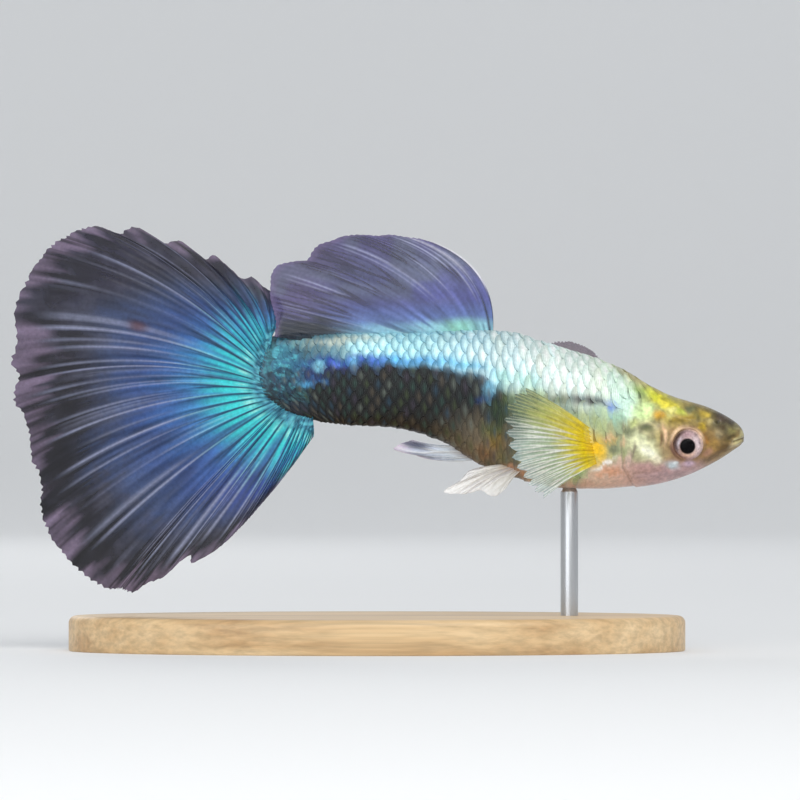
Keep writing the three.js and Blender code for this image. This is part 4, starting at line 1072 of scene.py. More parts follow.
class Fin:
    """The places and ray pattern of one fin.

    u runs from the root to the edge and t from the first ray to the last. Lobes, fray, fringe and web say how far
    the edge draws back, as shares of a ray's length: in soft waves, at random, between branches and between rays.
    """

    def __init__(self, rays, root, edge, bend, side, wave, steps=60, columns=14, ridge=0.09, membrane=0.09, pad=0.2,
                 pad_reach=1.0, smooth_root=0.01, lobes=0.012, fray=0.02, fringe=0.006, web=0.0, warp=0.0,
                 first=(0.2, 0.5), second=(0.5, 0.85), seed=1):
        draw = np.random.default_rng(seed)
        place_across = np.arange((rays - 1) * columns + 1) / columns
        self.ray = np.rint(place_across).astype(int)
        t = place_across / (rays - 1)
        t = t + warp * (value_noise(t * 0.35 * rays, 0 * t, seed) - 0.5) * smooth(t, 0, 0.1) * smooth(1 - t, 0, 0.1)
        self.u, self.t = np.meshgrid(np.linspace(0, 1, steps), t, indexing="ij")
        self.across = np.broadcast_to(place_across[None, :], self.u.shape)
        phase = place_across - self.ray
        late = 0.06 * draw.normal(0, 1, rays)[self.ray][None, :]
        self.height = branch_ridge(self.u + late, np.broadcast_to(phase, self.u.shape), first, second, 0.15, 0.06)
        side = np.asarray(side, float) / np.linalg.norm(side)
        start, end = root(t), edge(t)
        chord = end - start
        length = np.linalg.norm(chord, axis=1)
        # the edge is a row of soft lobes, frayed between its branches and fringed at their tips
        lobe = value_noise(place_across * 0.55, 0 * t, seed + 1)
        frayed = value_noise(place_across * 2.2, 0 * t, seed + 2)
        branch = place_across * 4
        uneven = 2 * value_noise(np.rint(branch) * 1.73, 0 * t, seed + 8)
        branch_tip = uneven * np.abs(branch - np.rint(branch))
        between_rays = (2 * np.abs(phase)) ** 1.5
        lost = length * (2 * lobes * lobe + fray * frayed + 2 * fringe * branch_tip + web * between_rays)
        lost = lost - 0.6 * lost.mean()
        end = end - chord * (lost / length)[:, None]
        chord = end - start
        bow = np.cross(side, chord) * (2 * bend(t))[:, None]
        control = (start + end) / 2 + bow
        u = self.u[..., None]
        middle = (1 - u) ** 2 * start + 2 * u * (1 - u) * control + u**2 * end
        self.distance = self.u * np.linalg.norm(chord, axis=1)[None, :]
        middle = middle + side * wave(self.u, self.t)[..., None]
        root_pad = pad * np.exp(-((self.distance / pad_reach) ** 2))
        thin = lerp(1, 0.35, smooth(self.u, 0.55, 1))
        vary = 0.6 + 0.8 * value_noise(self.across * 1.3, self.u * 3, seed + 3)
        ridge = ridge * smooth(self.distance, 0, smooth_root)
        half = membrane / 2 * lerp(1, 0.6, smooth(self.u, 0.8, 1)) + ridge * vary * self.height * thin + root_pad
        half = half * lerp(1, 0.35, smooth(self.u, 0.97, 1))
        self.front = middle + side * half[..., None]
        self.back = middle - side * half[..., None]
        # long streaks: broad ones of about a ray, fine ones of about a quarter of a ray
        self.broad = value_noise(self.across * 0.9, self.u * 2.5, seed + 4)
        self.streak = value_noise(self.across * 3.1, self.u * 4, seed + 5)
        self.hair = value_noise(self.across * 6.3, self.u * 9, seed + 6)
        # thin lines, four to a ray, each of its own strength
        line_place = self.across * 4 + 0.35 * np.sin(self.across * 5.3)
        strength = value_noise(np.rint(line_place) * 1.37, self.u * 1.6, seed + 7)
        self.line = bump_at(line_place - np.rint(line_place), 0, 0.2) * smooth(strength, 0.45, 0.8)
        # dark hairs between them
        strength = value_noise(np.floor(line_place) * 1.91, self.u * 2.2, seed + 9)
        self.dark_hair = bump_at(line_place - np.floor(line_place), 0.5, 0.22) * smooth(strength, 0.35, 0.75)

    def piece(self, name, material, colour):
        """The fin as a mesh, painted by colour(self, x, z)."""
        paint = colour(self, self.front[..., 0], self.front[..., 2]).reshape(-1, 3)
        points = np.concatenate([self.front.reshape(-1, 3), self.back.reshape(-1, 3)])
        faces = closed_sheet_faces(*self.u.shape)
        return make_piece(name, place(points), faces, material, np.concatenate([paint, paint]), sharp=True)


ACROSS = (0, 1, 0)

TAIL_SINK = 0.9  # how far inside the stem's end the tail fin's rays start

TAIL_STOPS = [
    (0.0, rgb(68, 142, 168)),
    (0.7, rgb(58, 142, 168)),
    (1.5, rgb(46, 140, 170)),
    (2.8, rgb(46, 132, 174)),
    (4.4, rgb(58, 126, 182)),
    (6.0, rgb(56, 98, 160)),
    (8.0, rgb(48, 72, 124)),
    (10.5, rgb(54, 70, 108)),
    (12.6, rgb(50, 56, 78)),
    (14.6, rgb(42, 42, 58)),
]
TAIL_REACH = ([0, 0.1, 0.2, 0.3, 0.42, 0.62, 0.8, 1], [0.3, 0.36, 0.46, 0.72, 1.0, 1.0, 0.78, 0.5])
TAIL_MINT = ([0, 0.12, 0.25, 0.45, 0.6, 1], [0.3, 0.5, 0.6, 0.8, 0.9, 0.85])


def tail_colour(fin, x, z):
    """Turquoise by the stem, then blue, then charcoal, with pale rays between and a thin mauve edge."""
    reach = fin.distance - TAIL_SINK
    colour = ramp(reach / np.interp(fin.t, *TAIL_REACH) * (0.86 + 0.28 * fin.broad), TAIL_STOPS)
    violet = smooth(fin.t, 0.6, 0.78) * bump_at(reach, 5.4, 2.4)
    colour = mix(colour, rgb(48, 62, 136), 0.6 * violet)
    # mottled smoke over the outer part, and a mauve margin
    outward = fin.u + 0.12 * (fin.broad - 0.5) + 0.06 * (fin.streak - 0.5)
    smoke = smooth(outward, 0.62, 0.86)
    smoke_tone = mix(np.broadcast_to(rgb(40, 38, 60), colour.shape), rgb(34, 33, 42), smooth(fin.t, 0.2, 0.5))
    colour = colour + (smoke_tone - colour) * (0.8 * smoke)[..., None]
    mottle = 0.6 * value_noise(x / 1.1, z / 1.1, 5) + 0.4 * value_noise(x / 0.4, z / 0.4, 6)
    colour = mix(colour, rgb(62, 62, 78), 0.6 * smooth(fin.u, 0.5, 0.75) * smooth(mottle, 0.45, 0.8))
    colour = mix(colour, rgb(24, 23, 30), 0.35 * smoke * smooth(0.5 - mottle, 0, 0.3))
    colour = mix(colour, rgb(26, 24, 32), 0.4 * bump_at(outward, 0.85, 0.06))
    margin = smooth(outward + 0.16 * (fin.hair - 0.5), 0.88, 1.0)
    colour = mix(colour, rgb(118, 103, 126), 0.72 * margin)
    colour = colour * (1 + 0.6 * (fin.streak - 0.5) + 0.8 * (fin.hair - 0.5))[..., None]
    # turquoise streaks and dark lines by the root
    near = smooth(reach, 0.3, 1.0) * (1 - smooth(reach, 2.0, 5.0)) * smooth(fin.t, 0.02, 0.14)
    valley = 1 - fin.height
    mint = np.interp(fin.t, *TAIL_MINT) * near * smooth(valley, 0.3, 0.8) * smooth(fin.streak, 0.15, 0.65)
    colour = mix(colour, rgb(56, 222, 222), mint)
    root_glint = bump_at(reach, 1.1, 0.4) * smooth(valley, 0.4, 0.9) * smooth(fin.t, 0.1, 0.3)
    colour = mix(colour, rgb(196, 246, 232), 0.55 * root_glint * smooth(fin.streak, 0.4, 0.8))
    dark_line = (1 - smooth(reach, 3.0, 8.0)) * smooth(reach, 0.2, 0.7)
    colour = mix(colour, rgb(6, 34, 62), 0.75 * dark_line * smooth(fin.height, 0.45, 0.9))
    # speckled skin runs out over the root
    net = 0.5 * value_noise(x / 0.13, z / 0.1, 3) + 0.5 * value_noise(x / 0.3, z / 0.22, 4)
    over_root = 1 - smooth(reach, 0.3, 1.1)
    colour = mix(colour, rgb(14, 48, 74), 0.6 * over_root * smooth(0.5 - net, 0, 0.2))
    colour = mix(colour, rgb(110, 206, 218), 0.7 * over_root * smooth(net, 0.5, 0.7))
    # pale lines along the middle, dark ones out to the edge
    middle = smooth(reach, 1.6, 4.0) * (1 - smooth(fin.u, 0.8, 0.96)) * smooth(fin.t, 0.1, 0.34)
    pale = mix(np.broadcast_to(rgb(120, 206, 224), colour.shape), rgb(156, 162, 192), smooth(reach, 3.0, 7.0))
    colour = colour + (pale - colour) * (0.75 * middle * fin.line)[..., None]
    upper = smooth(reach, 2.0, 4.0) * (1 - smooth(fin.u, 0.75, 0.97)) * (1 - smooth(fin.t, 0.1, 0.34))
    colour = mix(colour, rgb(116, 120, 144), 0.5 * upper * fin.line)
    outer = smooth(fin.u, 0.62, 0.84)
    colour = mix(colour, rgb(14, 12, 18), 0.8 * outer * fin.dark_hair)
    return marked(colour, x, z, [(-16.3, 6.4, 0.7, 0.34, -12, rgb(84, 46, 46), 0.8)])


def build_tail_fin(material):
    def root(t):
        base = along_line(TAIL_ROOT, t)
        direction = along_line(TAIL_EDGE, t) - base
        return base - TAIL_SINK * direction / np.linalg.norm(direction, axis=1)[:, None]

    fin = Fin(
        rays=34,
        root=root,
        edge=lambda t: along_line(TAIL_EDGE, t),
        bend=lambda t: 0.075 - 0.125 * smooth(t, 0.45, 1),
        side=ACROSS,
        wave=lambda u, t: 0.75 * u**1.6 * np.sin(2 * np.pi * (1.6 * t + 0.15)),
        steps=72,
        columns=12,
        ridge=0.06,
        membrane=0.1,
        pad=0.12,
        pad_reach=1.6,
        lobes=0.006,
        fray=0.012,
        fringe=0.009,
        warp=0.05,
        seed=11,
    )
    return fin.piece("tail_fin_rays", material, tail_colour)


DORSAL_STOPS = [
    (0.0, rgb(116, 174, 196)),
    (0.9, rgb(102, 128, 190)),
    (2.2, rgb(88, 92, 160)),
    (4.2, rgb(94, 98, 140)),
    (6.4, rgb(88, 84, 132)),
]


def dorsal_colour(fin, x, z):
    """Smoky violet with a white leading ray, mint streaks along its foot and a dark rear corner."""
    above = z - profile("back", x)
    colour = ramp(above, DORSAL_STOPS)
    colour = mix(colour, rgb(86, 76, 110), 0.8 * smooth(-x, 0.5, 5.5))
    mist = value_noise(x / 1.7, z / 1.1, 21)
    colour = mix(colour, rgb(106, 114, 136), 0.6 * smooth(mist, 0.4, 0.8) * smooth(above, 1.5, 3.0))
    streaky = 0.55 * (fin.streak - 0.5) + 0.4 * (fin.hair - 0.5) + 0.4 * (fin.broad - 0.5)
    colour = colour * (1 + streaky)[..., None]
    foot = (1 - smooth(above, 0.35, 1.1)) * smooth(x, -2.5, 2.0)
    colour = mix(colour, rgb(164, 222, 236), 0.8 * foot * smooth(fin.streak, 0.2, 0.6))
    colour = mix(colour, rgb(160, 236, 200), 0.6 * (1 - smooth(above, 0.4, 1.2)) * bump_at(x, 5.6, 1.2))
    body = smooth(fin.u, 0.2, 0.45) * (1 - smooth(fin.u, 0.86, 1))
    colour = mix(colour, rgb(172, 176, 210), 0.85 * body * fin.line * smooth(fin.broad, 0.2, 0.5))
    shade = np.maximum(smooth(fin.height, 0.5, 0.95), fin.dark_hair) * smooth(0.6 - fin.broad, 0, 0.25)
    colour = mix(colour, rgb(42, 34, 58), 0.6 * smooth(fin.u, 0.35, 0.55) * shade)
    lead = (1 - smooth(fin.t, 0.012, 0.028)) * smooth(fin.u, 0.3, 0.55)
    colour = mix(colour, rgb(246, 244, 255), 0.95 * lead)
    second = bump_at(fin.t, 0.11, 0.018) * smooth(fin.u, 0.4, 0.7)
    colour = mix(colour, rgb(186, 186, 206), 0.8 * second)
    dark_foot = np.maximum(1 - smooth(fin.t, 0.01, 0.03), bump_at(fin.t, 0.1, 0.02)) * (1 - smooth(fin.u, 0.2, 0.5))
    colour = mix(colour, rgb(26, 38, 66), 0.8 * dark_foot)
    corner = smooth(-x, 1.0, 4.0) * (1 - smooth(above + 0.8 * (fin.hair - 0.5), 0.5, 1.7))
    colour = mix(colour, rgb(22, 32, 42), 0.9 * corner)
    return mix(colour, rgb(120, 106, 148), 0.65 * smooth(fin.u, 0.94, 1.0))


def build_dorsal_fin(material):
    def root(t):
        x = lerp(*DORSAL_ROOT_X, t**1.7)
        return np.stack([x, 0 * x, profile("back", x) - 0.6], axis=-1)

    fin = Fin(
        rays=11,
        root=root,
        edge=lambda t: along_line(DORSAL_EDGE, t),
        bend=lambda t: 0.2 - 0.23 * t,
        side=ACROSS,
        wave=lambda u, t: -0.55 * u * u + 0.3 * u * u * np.sin(2 * np.pi * (1.2 * t + 0.3)),
        steps=64,
        columns=26,
        ridge=0.05,
        membrane=0.08,
        pad=0.14,
        pad_reach=0.8,
        lobes=0.01,
        fray=0.012,
        fringe=0.004,
        warp=0.05,
        first=(0.35, 0.65),
        second=(0.6, 0.9),
        seed=12,
    )
    return fin.piece("dorsal_fin_rays", material, dorsal_colour)


ANAL_STOPS = [
    (0.0, rgb(190, 176, 164)),
    (0.3, rgb(216, 224, 232)),
    (0.75, rgb(190, 196, 216)),
    (1.0, rgb(220, 200, 222)),
]


def anal_colour(fin, x, z):
    colour = ramp(fin.u, ANAL_STOPS)
    colour = colour * (1 + 0.3 * (fin.streak - 0.5))[..., None]
    colour = mix(colour, rgb(250, 252, 252), 0.5 * fin.height)
    colour = mix(colour, rgb(120, 130, 150), 0.5 * fin.dark_hair)
    return marked(colour, x, z, [(2.5, -1.65, 1.0, 0.26, -12, rgb(62, 68, 98), 0.9)])


def build_anal_fin(material):
    def root(t):
        x = lerp(*ANAL_ROOT_X, t)
        return np.stack([x, 0 * x, profile("belly", x) + 0.45], axis=-1)

    fin = Fin(
        rays=4,
        root=root,
        edge=lambda t: along_line(ANAL_EDGE, t),
        bend=lambda t: np.full_like(t, -0.05),
        side=ACROSS,
        wave=lambda u, t: 0 * u,
        steps=44,
        columns=16,
        ridge=0.1,
        membrane=0.16,
        pad=0.14,
        lobes=0.04,
        fray=0.06,
        seed=13,
    )
    return fin.piece("anal_fin_rays", material, anal_colour)


def pelvic_colour(fin, x, z):
    colour = ramp(fin.u, [(0.0, rgb(222, 196, 168)), (0.25, rgb(240, 236, 228)), (1.0, rgb(255, 255, 255))])
    colour = mix(colour, rgb(188, 182, 186), 0.55 * smooth(1 - fin.height, 0.4, 1) * smooth(fin.streak, 0.3, 0.7))
    return mix(colour, rgb(150, 140, 148), 0.5 * fin.dark_hair * (1 - smooth(fin.u, 0.6, 0.9)))


def build_pelvic_fin(name, sign, material):
    def root(t):
        x = lerp(*PELVIC_ROOT_X, t)
        return np.stack([x, 0 * x + sign * PELVIC_SIDE, profile("belly", x) + 0.6], axis=-1)

    def edge(t):
        points = along_line(PELVIC_EDGE, t)
        points[:, 1] = sign * (PELVIC_SIDE + PELVIC_SPLAY * (PELVIC_ROOT_X[1] - points[:, 0]))
        return points

    fin = Fin(
        rays=6,
        root=root,
        edge=edge,
        bend=lambda t: np.full_like(t, 0.04 * sign),
        side=(PELVIC_SPLAY, sign, 0),
        wave=lambda u, t: 0.08 * u * np.sin(6 * t),
        steps=44,
        columns=16,
        ridge=0.08,
        membrane=0.1,
        pad=0.12,
        lobes=0.02,
        fray=0.02,
        fringe=0.01,
        web=0.05,
        seed=14,
    )
    return fin.piece(name, material, pelvic_colour)


BREAST_UPPER_STOPS = [
    (0.0, rgb(234, 170, 0)),
    (0.22, rgb(255, 222, 10)),
    (0.4, rgb(234, 212, 50)),
    (0.66, rgb(188, 192, 106)),
    (0.86, rgb(118, 136, 104)),
    (1.0, rgb(84, 106, 96)),
]
BREAST_LOWER_STOPS = [
    (0.0, rgb(238, 172, 0)),
    (0.22, rgb(255, 226, 10)),
    (0.38, rgb(240, 226, 80)),
    (0.58, rgb(192, 210, 174)),
    (1.0, rgb(184, 206, 206)),
]
SMOKY_STOPS = [
    (0.0, rgb(226, 160, 0)),
    (0.24, rgb(240, 198, 20)),
    (0.42, rgb(196, 184, 80)),
    (0.72, rgb(156, 152, 118)),
    (0.88, rgb(122, 106, 116)),
    (1.0, rgb(116, 98, 116)),
]


def breast_right_colour(fin, x, z):
    """Bright yellow at the root, olive-yellow above, and white rays over pale mint below."""
    colour = mix(ramp(fin.u, BREAST_UPPER_STOPS), ramp(fin.u, BREAST_LOWER_STOPS), smooth(fin.t, 0.2, 0.45))
    beyond_root = smooth(fin.u, 0.22, 0.42)
    white = smooth(fin.t, 0.18, 0.36) * smooth(fin.broad + 0.6 * fin.streak, 0.15, 0.6)
    colour = mix(colour, rgb(255, 255, 248), beyond_root * white * smooth(fin.height, 0.2, 0.6))
    colour = mix(colour, rgb(228, 222, 150), 0.5 * beyond_root * (1 - smooth(fin.t, 0.18, 0.36)) * fin.height)
    colour = mix(colour, rgb(84, 104, 96), 0.45 * beyond_root * smooth(fin.t, 0.2, 0.5) * fin.dark_hair)
    colour = mix(colour, rgb(150, 124, 10), 0.3 * smooth(0.5 - fin.streak, 0, 0.3) * (1 - smooth(fin.u, 0.3, 0.7)))
    clear_tip = smooth(fin.u, 0.72, 1.0) * bump_at(fin.t, 0.3, 0.2) * (1 - 0.6 * fin.height)
    colour = mix(colour, rgb(62, 84, 74), 0.75 * clear_tip)
    return colour * (1 + 0.24 * (fin.hair - 0.5))[..., None]


def breast_left_colour(fin, x, z):
    """Yellow at the root, then olive with pale rays, and smoky plum toward its edge."""
    colour = ramp(fin.u, SMOKY_STOPS) * (1 + 0.4 * (fin.streak - 0.5))[..., None]
    pale = smooth(fin.u, 0.22, 0.42) * (1 - smooth(fin.u, 0.7, 0.9)) * smooth(fin.height, 0.2, 0.6)
    colour = mix(colour, rgb(240, 240, 214), 0.7 * pale)
    return mix(colour, rgb(84, 66, 84), 0.5 * smooth(fin.height, 0.3, 0.8) * smooth(fin.u, 0.75, 0.9))


def build_breast_fin(name, pose, material, colour, web, seed):
    out, up, sign = pose["out"], pose["up"], pose["sign"]
    middle = np.array([-math.cos(up) * math.cos(out), sign * math.sin(out), math.sin(up) * math.cos(out)])
    upward = np.array([math.sin(up), 0, math.cos(up)])
    inner = 0.6
    last = len(pose["lengths"]) - 1

    def root(t):
        z = lerp(BREAST_ROOT["top"], BREAST_ROOT["bottom"], t)
        x = np.full_like(z, BREAST_ROOT["x"])
        return np.stack([x, sign * (flank_at(x, z) - inner), z], axis=-1)

    def edge(t):
        length = inner + np.interp(np.clip(t, 0, 1) * last, np.arange(last + 1), pose["lengths"])
        angle = np.radians(lerp(*BREAST_FAN_DEG, t))
        spread = length[:, None] * (np.cos(angle)[:, None] * middle + np.sin(angle)[:, None] * upward)
        return root(t) + spread

    fin = Fin(
        rays=12,
        root=root,
        edge=edge,
        bend=lambda t: np.full_like(t, 0.03 * sign),
        side=np.cross(upward, middle),
        wave=lambda u, t: -0.25 * u * u * np.cos(2 * np.pi * t),
        steps=56,
        columns=16,
        ridge=0.07,
        membrane=0.07,
        pad=0.3,
        pad_reach=0.9,
        smooth_root=2.2,
        lobes=0.012,
        fray=0.015,
        fringe=0.012,
        web=web,
        warp=0.04,
        first=(0.3, 0.6),
        second=(0.6, 0.9),
        seed=seed,
    )
    return fin.piece(name, material, colour)


# The eyes: a silver iris with a dark crescent, a round black pupil and a wet surface.
PUPIL = {"x": -0.02, "z": -0.18, "radius": 0.53}
EYE_RINGS = 60
EYE_AROUND = 96


def build_eye(name, sign, material):
    turn = np.linspace(0, 2 * np.pi, EYE_AROUND, endpoint=False)
    polar = np.linspace(0.02, np.pi - 0.02, EYE_RINGS)
    lean, around = np.meshgrid(polar, turn, indexing="ij")
    out = EYE["radius"] * np.sin(lean)
    x = out * np.cos(around)
    z = out * np.sin(around)
    from_pupil = np.hypot(x - PUPIL["x"], z - PUPIL["z"])
    outer_half = smooth(np.cos(lean), -0.1, 0.3)
    lens = 0.05 * (1 - smooth(from_pupil, PUPIL["radius"] * 0.7, PUPIL["radius"] * 1.08)) * outer_half
    dish = -0.035 * bump_at(from_pupil, PUPIL["radius"] + 0.2, 0.14) * outer_half
    y = sign * (EYE["depth"] * np.cos(lean) + lens + dish)
    points = np.stack([EYE["x"] + x, sign * EYE["y"] + y, EYE["z"] + z], axis=-1).reshape(-1, 3)
    ends = np.array([points[:EYE_AROUND].mean(axis=0), points[-EYE_AROUND:].mean(axis=0)])
    flat = np.concatenate([points, ends])
    faces = grid_faces(EYE_RINGS, EYE_AROUND, wrap=True)
    ring = np.arange(EYE_AROUND)
    after = (ring + 1) % EYE_AROUND
    last = (EYE_RINGS - 1) * EYE_AROUND
    near = np.full(EYE_AROUND, len(points))
    far = np.full(EYE_AROUND, len(points) + 1)
    caps = [np.stack([after, ring, near, near], axis=-1), np.stack([ring + last, after + last, far, far], axis=-1)]
    dx = flat[:, 0] - EYE["x"]
    dz = flat[:, 2] - EYE["z"]
    from_pupil = np.hypot(dx - PUPIL["x"], dz - PUPIL["z"])
    from_centre = np.hypot(dx, dz)
    bearing = eye_bearing(flat[:, 0], flat[:, 2])
    paint = np.tile(rgb(176, 150, 148), (len(flat), 1))
    # lilac before and behind the pupil and greyer above it, with a painted highlight in peach below it
    paint = mix(paint, rgb(232, 214, 216), 0.85 * turned_bump(bearing, 0, 56) * bump_at(from_pupil, 0.7, 0.2))
    paint = mix(paint, rgb(214, 206, 216), 0.8 * turned_bump(bearing, 178, 44) * bump_at(from_pupil, 0.68, 0.12))
    paint = mix(paint, rgb(146, 118, 124), 0.85 * turned_bump(bearing, 96, 46) * bump_at(from_pupil, 0.8, 0.24))
    # painted highlight: peach below the pupil
    paint = mix(paint, rgb(236, 196, 172), 0.85 * turned_bump(bearing, 270, 46) * bump_at(from_pupil, 0.64, 0.16))
    # a dark crescent behind and a rosy one below it, with a painted highlight as a cream rim above
    paint = mix(paint, rgb(62, 46, 36), 0.95 * turned_bump(bearing, 146, 42) * bump_at(from_centre, 0.82, 0.13))
    paint = mix(paint, rgb(98, 76, 70), 0.7 * turned_bump(bearing, 200, 36) * bump_at(from_centre, 0.82, 0.1))
    paint = mix(paint, rgb(146, 108, 100), 0.8 * turned_bump(bearing, 235, 50) * smooth(from_centre, 0.84, 0.98))
    # painted highlight: a cream rim along the top, and peach toward the snout
    paint = mix(paint, rgb(248, 214, 174), 0.9 * turned_bump(bearing, 130, 40) * smooth(from_centre, 0.9, 0.97))
    paint = mix(paint, rgb(236, 204, 184), 0.85 * turned_bump(bearing, 30, 42) * smooth(from_centre, 0.82, 0.94))
    paint = mix(paint, rgb(104, 84, 90), 0.8 * turned_bump(bearing, 2, 6) * bump_at(from_centre, 0.82, 0.05))
    speck = value_noise(dx / 0.1, dz / 0.1, 41) + value_noise(dx / 0.2, dz / 0.2, 42) - 1
    paint = paint * (1 + 0.35 * speck)[:, None]
    pupil = 1 - smooth(from_pupil, PUPIL["radius"] - 0.04, PUPIL["radius"] + 0.04)
    paint = mix(paint, rgb(3, 2, 4), pupil)
    shine = 0.2 * (1 - pupil)
    faces = np.concatenate([faces, *caps])
    return make_piece(name, place(flat), faces, material, paint, {"Shine": shine}, sharp=False)


# The stand.
BASE_CHAMFER = 0.5
BASE_AROUND = 160


def build_base(material):
    low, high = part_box("stand_base")
    half_x, half_y = (high.x - low.x) / 2, (high.y - low.y) / 2
    chamfer = BASE_CHAMFER * MM
    steps = np.linspace(0, np.pi / 2, 9)
    outline = [(0.5 * half_y, low.z), (0.2 * chamfer, low.z), (0.0, low.z + 0.2 * chamfer)]
    outline += [(chamfer * (1 - math.cos(s)), high.z - chamfer * (1 - math.sin(s))) for s in steps]
    outline += [(2.5 * chamfer, high.z), (0.5 * half_y, high.z)]
    turn = np.linspace(0, 2 * np.pi, BASE_AROUND, endpoint=False)
    rings = [np.stack([(half_x - inset) * np.cos(turn), (half_y - inset) * np.sin(turn), 0 * turn + z], axis=-1)
             for inset, z in outline]
    points = np.concatenate(rings + [np.array([[0, 0, low.z], [0, 0, high.z]])])
    count = BASE_AROUND
    ring = np.arange(count)
    after = (ring + 1) % count
    last = (len(rings) - 1) * count
    under = np.full(count, len(points) - 2)
    over = np.full(count, len(points) - 1)
    caps = [np.stack([after, ring, under, under], axis=-1), np.stack([ring + last, after + last, over, over], axis=-1)]
    faces = np.concatenate([grid_faces(len(rings), count, wrap=True), *caps])
    return make_piece("maple_base", points, faces, material)


ROD_AROUND = 48


def build_rod(material):
    low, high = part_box("stand_rod")
    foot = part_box("stand_base")[1].z
    centre_x = (low.x + high.x) / 2
    radius = (high.x - low.x) / 2
    bevel = 0.08 * MM
    sink = 0.5 * MM
    outline = [(radius * 0.4, foot - sink), (radius, foot - sink), (radius, foot), (radius, high.z - bevel)]
    outline += [(radius - 0.4 * bevel, high.z), (radius * 0.4, high.z + sink)]
    turn = np.linspace(0, 2 * np.pi, ROD_AROUND, endpoint=False)
    rings = [np.stack([centre_x + r * np.cos(turn), r * np.sin(turn), 0 * turn + z], axis=-1) for r, z in outline]
    points = np.concatenate(rings + [np.array([[centre_x, 0, outline[0][1]], [centre_x, 0, outline[-1][1]]])])
    count = ROD_AROUND
    ring = np.arange(count)
    after = (ring + 1) % count
    last = (len(rings) - 1) * count
    under = np.full(count, len(points) - 2)
    over = np.full(count, len(points) - 1)
    caps = [np.stack([after, ring, under, under], axis=-1), np.stack([ring + last, after + last, over, over], axis=-1)]
    faces = np.concatenate([grid_faces(len(rings), count, wrap=True), *caps])
    return make_piece("steel_rod", points, faces, material)


# The room: a pale round floor that curves up into its own wall, soft lights and the camera.
FLOOR_RADIUS = 0.44
WALL_CURVE = 0.16
WALL_HEIGHT = 0.75
FLOOR_AROUND = 128


def build_stage():
    material, nodes, links, shader = new_material("pale_floor")
    tone = noise_node(nodes, links, 3, 2)
    level = nodes.new("ShaderNodeValToRGB")
    level.color_ramp.elements[0].color = (*rgb(214, 216, 218), 1)
    level.color_ramp.elements[1].color = (*rgb(220, 221, 222), 1)
    links.new(tone.outputs["Fac"], level.inputs["Fac"])
    links.new(level.outputs["Color"], shader.inputs["Base Color"])
    shader.inputs["Roughness"].default_value = 0.85
    # the room itself glows a little, so that its wall is as pale as its floor from every side
    links.new(level.outputs["Color"], shader.inputs["Emission Color"])
    shader.inputs["Emission Strength"].default_value = 0.23
    steps = np.linspace(0, np.pi / 2, 16)
    outline = [(0.001, 0.0), (0.2, 0.0)]
    outline += [(FLOOR_RADIUS + WALL_CURVE * math.sin(s), WALL_CURVE * (1 - math.cos(s))) for s in steps]
    outline += [(FLOOR_RADIUS + WALL_CURVE, WALL_HEIGHT)]
    turn = np.linspace(0, 2 * np.pi, FLOOR_AROUND, endpoint=False)
    rings = [np.stack([r * np.cos(turn), r * np.sin(turn), 0 * turn + z], axis=-1) for r, z in outline]
    mesh = bpy.data.meshes.new("stage_floor")
    faces = grid_faces(len(rings), FLOOR_AROUND, wrap=True)
    mesh.from_pydata(np.concatenate(rings).tolist(), [], faces.tolist())
    mesh.polygons.foreach_set("use_smooth", [True] * len(mesh.polygons))
    mesh.materials.append(material)
    floor = bpy.data.objects.new("stage_floor", mesh)
    bpy.context.scene.collection.objects.link(floor)


def add_light(name, position, size, power, colour=(1, 1, 1)):
    lamp = bpy.data.lights.new(name, "AREA")
    lamp.shape = "DISK"
    lamp.size = size
    lamp.energy = power
    lamp.color = colour
    holder = bpy.data.objects.new(name, lamp)
    holder.location = position
    target = Vector((0.0, 0.0, SWIM_HEIGHT * MM))
    holder.rotation_euler = (target - Vector(position)).to_track_quat("-Z", "Y").to_euler()
    bpy.context.scene.collection.objects.link(holder)


def build_lights():
    add_light("key", (0.08, -0.3, 0.3), 0.32, 0.85, (1.0, 0.985, 0.96))
    add_light("fill", (-0.16, -0.36, 0.08), 0.34, 0.45, (0.96, 0.98, 1.0))
    add_light("overhead", (0.0, 0.0, 0.7), 0.7, 0.44)
    add_light("back", (-0.12, 0.34, 0.22), 0.25, 0.25)
    world = bpy.data.worlds.new("soft_room")
    world.use_nodes = True
    background = world.node_tree.nodes["Background"]
    background.inputs["Color"].default_value = (0.92, 0.95, 1.0, 1)
    background.inputs["Strength"].default_value = 0.18
    bpy.context.scene.world = world
    bpy.context.scene.view_settings.view_transform = "Standard"


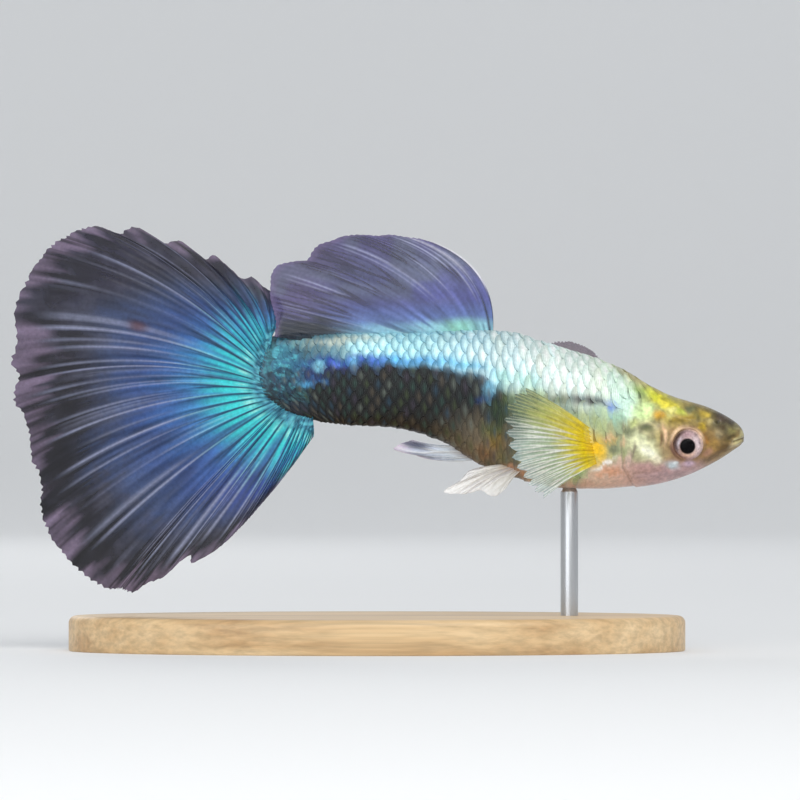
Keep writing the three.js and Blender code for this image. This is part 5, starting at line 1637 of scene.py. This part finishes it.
PIXELS_PER_MM = 14.68
PHOTO_SIZE = 800
VIEW_CENTRE = Vector((1.567, 0.0, 17.08)) * MM
CAMERA_DISTANCE = 0.5
SENSOR = 36.0


def build_camera():
    camera = bpy.data.cameras.new("photo_view")
    camera.sensor_width = SENSOR
    camera.lens = SENSOR * CAMERA_DISTANCE / (PHOTO_SIZE / PIXELS_PER_MM * MM)
    camera.clip_start = 0.01
    camera.clip_end = 10
    holder = bpy.data.objects.new("photo_view", camera)
    holder.location = VIEW_CENTRE - Vector((0, CAMERA_DISTANCE, 0))
    holder.rotation_euler = (math.pi / 2, 0, 0)
    bpy.context.scene.collection.objects.link(holder)
    bpy.context.scene.camera = holder


def build_fish():
    settle(build_skin(skin_material()), "head_skin", "head", "trunk", "tail_stem")
    centres = scale_places()
    plates = scale_material()
    on_left = centres[:, 1] < 0.5
    for name, part in (("guppy_scales_left", on_left), ("guppy_scales_right", ~on_left)):
        scales = build_scales(name, centres[part], plates, SEED)
        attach(scales, "root")
    settle(build_tail_fin(fin_material("tail_membrane", 0.88)), "tail_fin", "tail_fin")
    settle(build_dorsal_fin(fin_material("dorsal_membrane", 0.74)), "clear_fin", "dorsal_fin")
    white = fin_material("white_membrane", 0.8, speckle=0.06)
    settle(build_anal_fin(white), "white_fin", "anal_fin")
    settle(build_pelvic_fin("pelvic_rays_right", -1, white), "white_fin", "pelvic_fin_right")
    settle(build_pelvic_fin("pelvic_rays_left", 1, white), "white_fin", "pelvic_fin_left")
    yellow = fin_material("breast_membrane", 0.55)
    right = build_breast_fin("breast_rays_right", BREAST_RIGHT, yellow, breast_right_colour, 0.09, 15)
    settle(right, "breast_fin", "breast_fin_right")
    left = build_breast_fin("breast_rays_left", BREAST_LEFT, yellow, breast_left_colour, 0.0, 16)
    settle(left, "breast_fin", "breast_fin_left")
    wet = eye_material()
    settle(build_eye("eye_ball_right", -1, wet), "eye", "eye_right")
    settle(build_eye("eye_ball_left", 1, wet), "eye", "eye_left")


build_fish()
settle(build_base(wood_material()), "base_wood", "stand_base")
settle(build_rod(steel_material()), "rod_steel", "stand_rod")
build_stage()
build_lights()
build_camera()
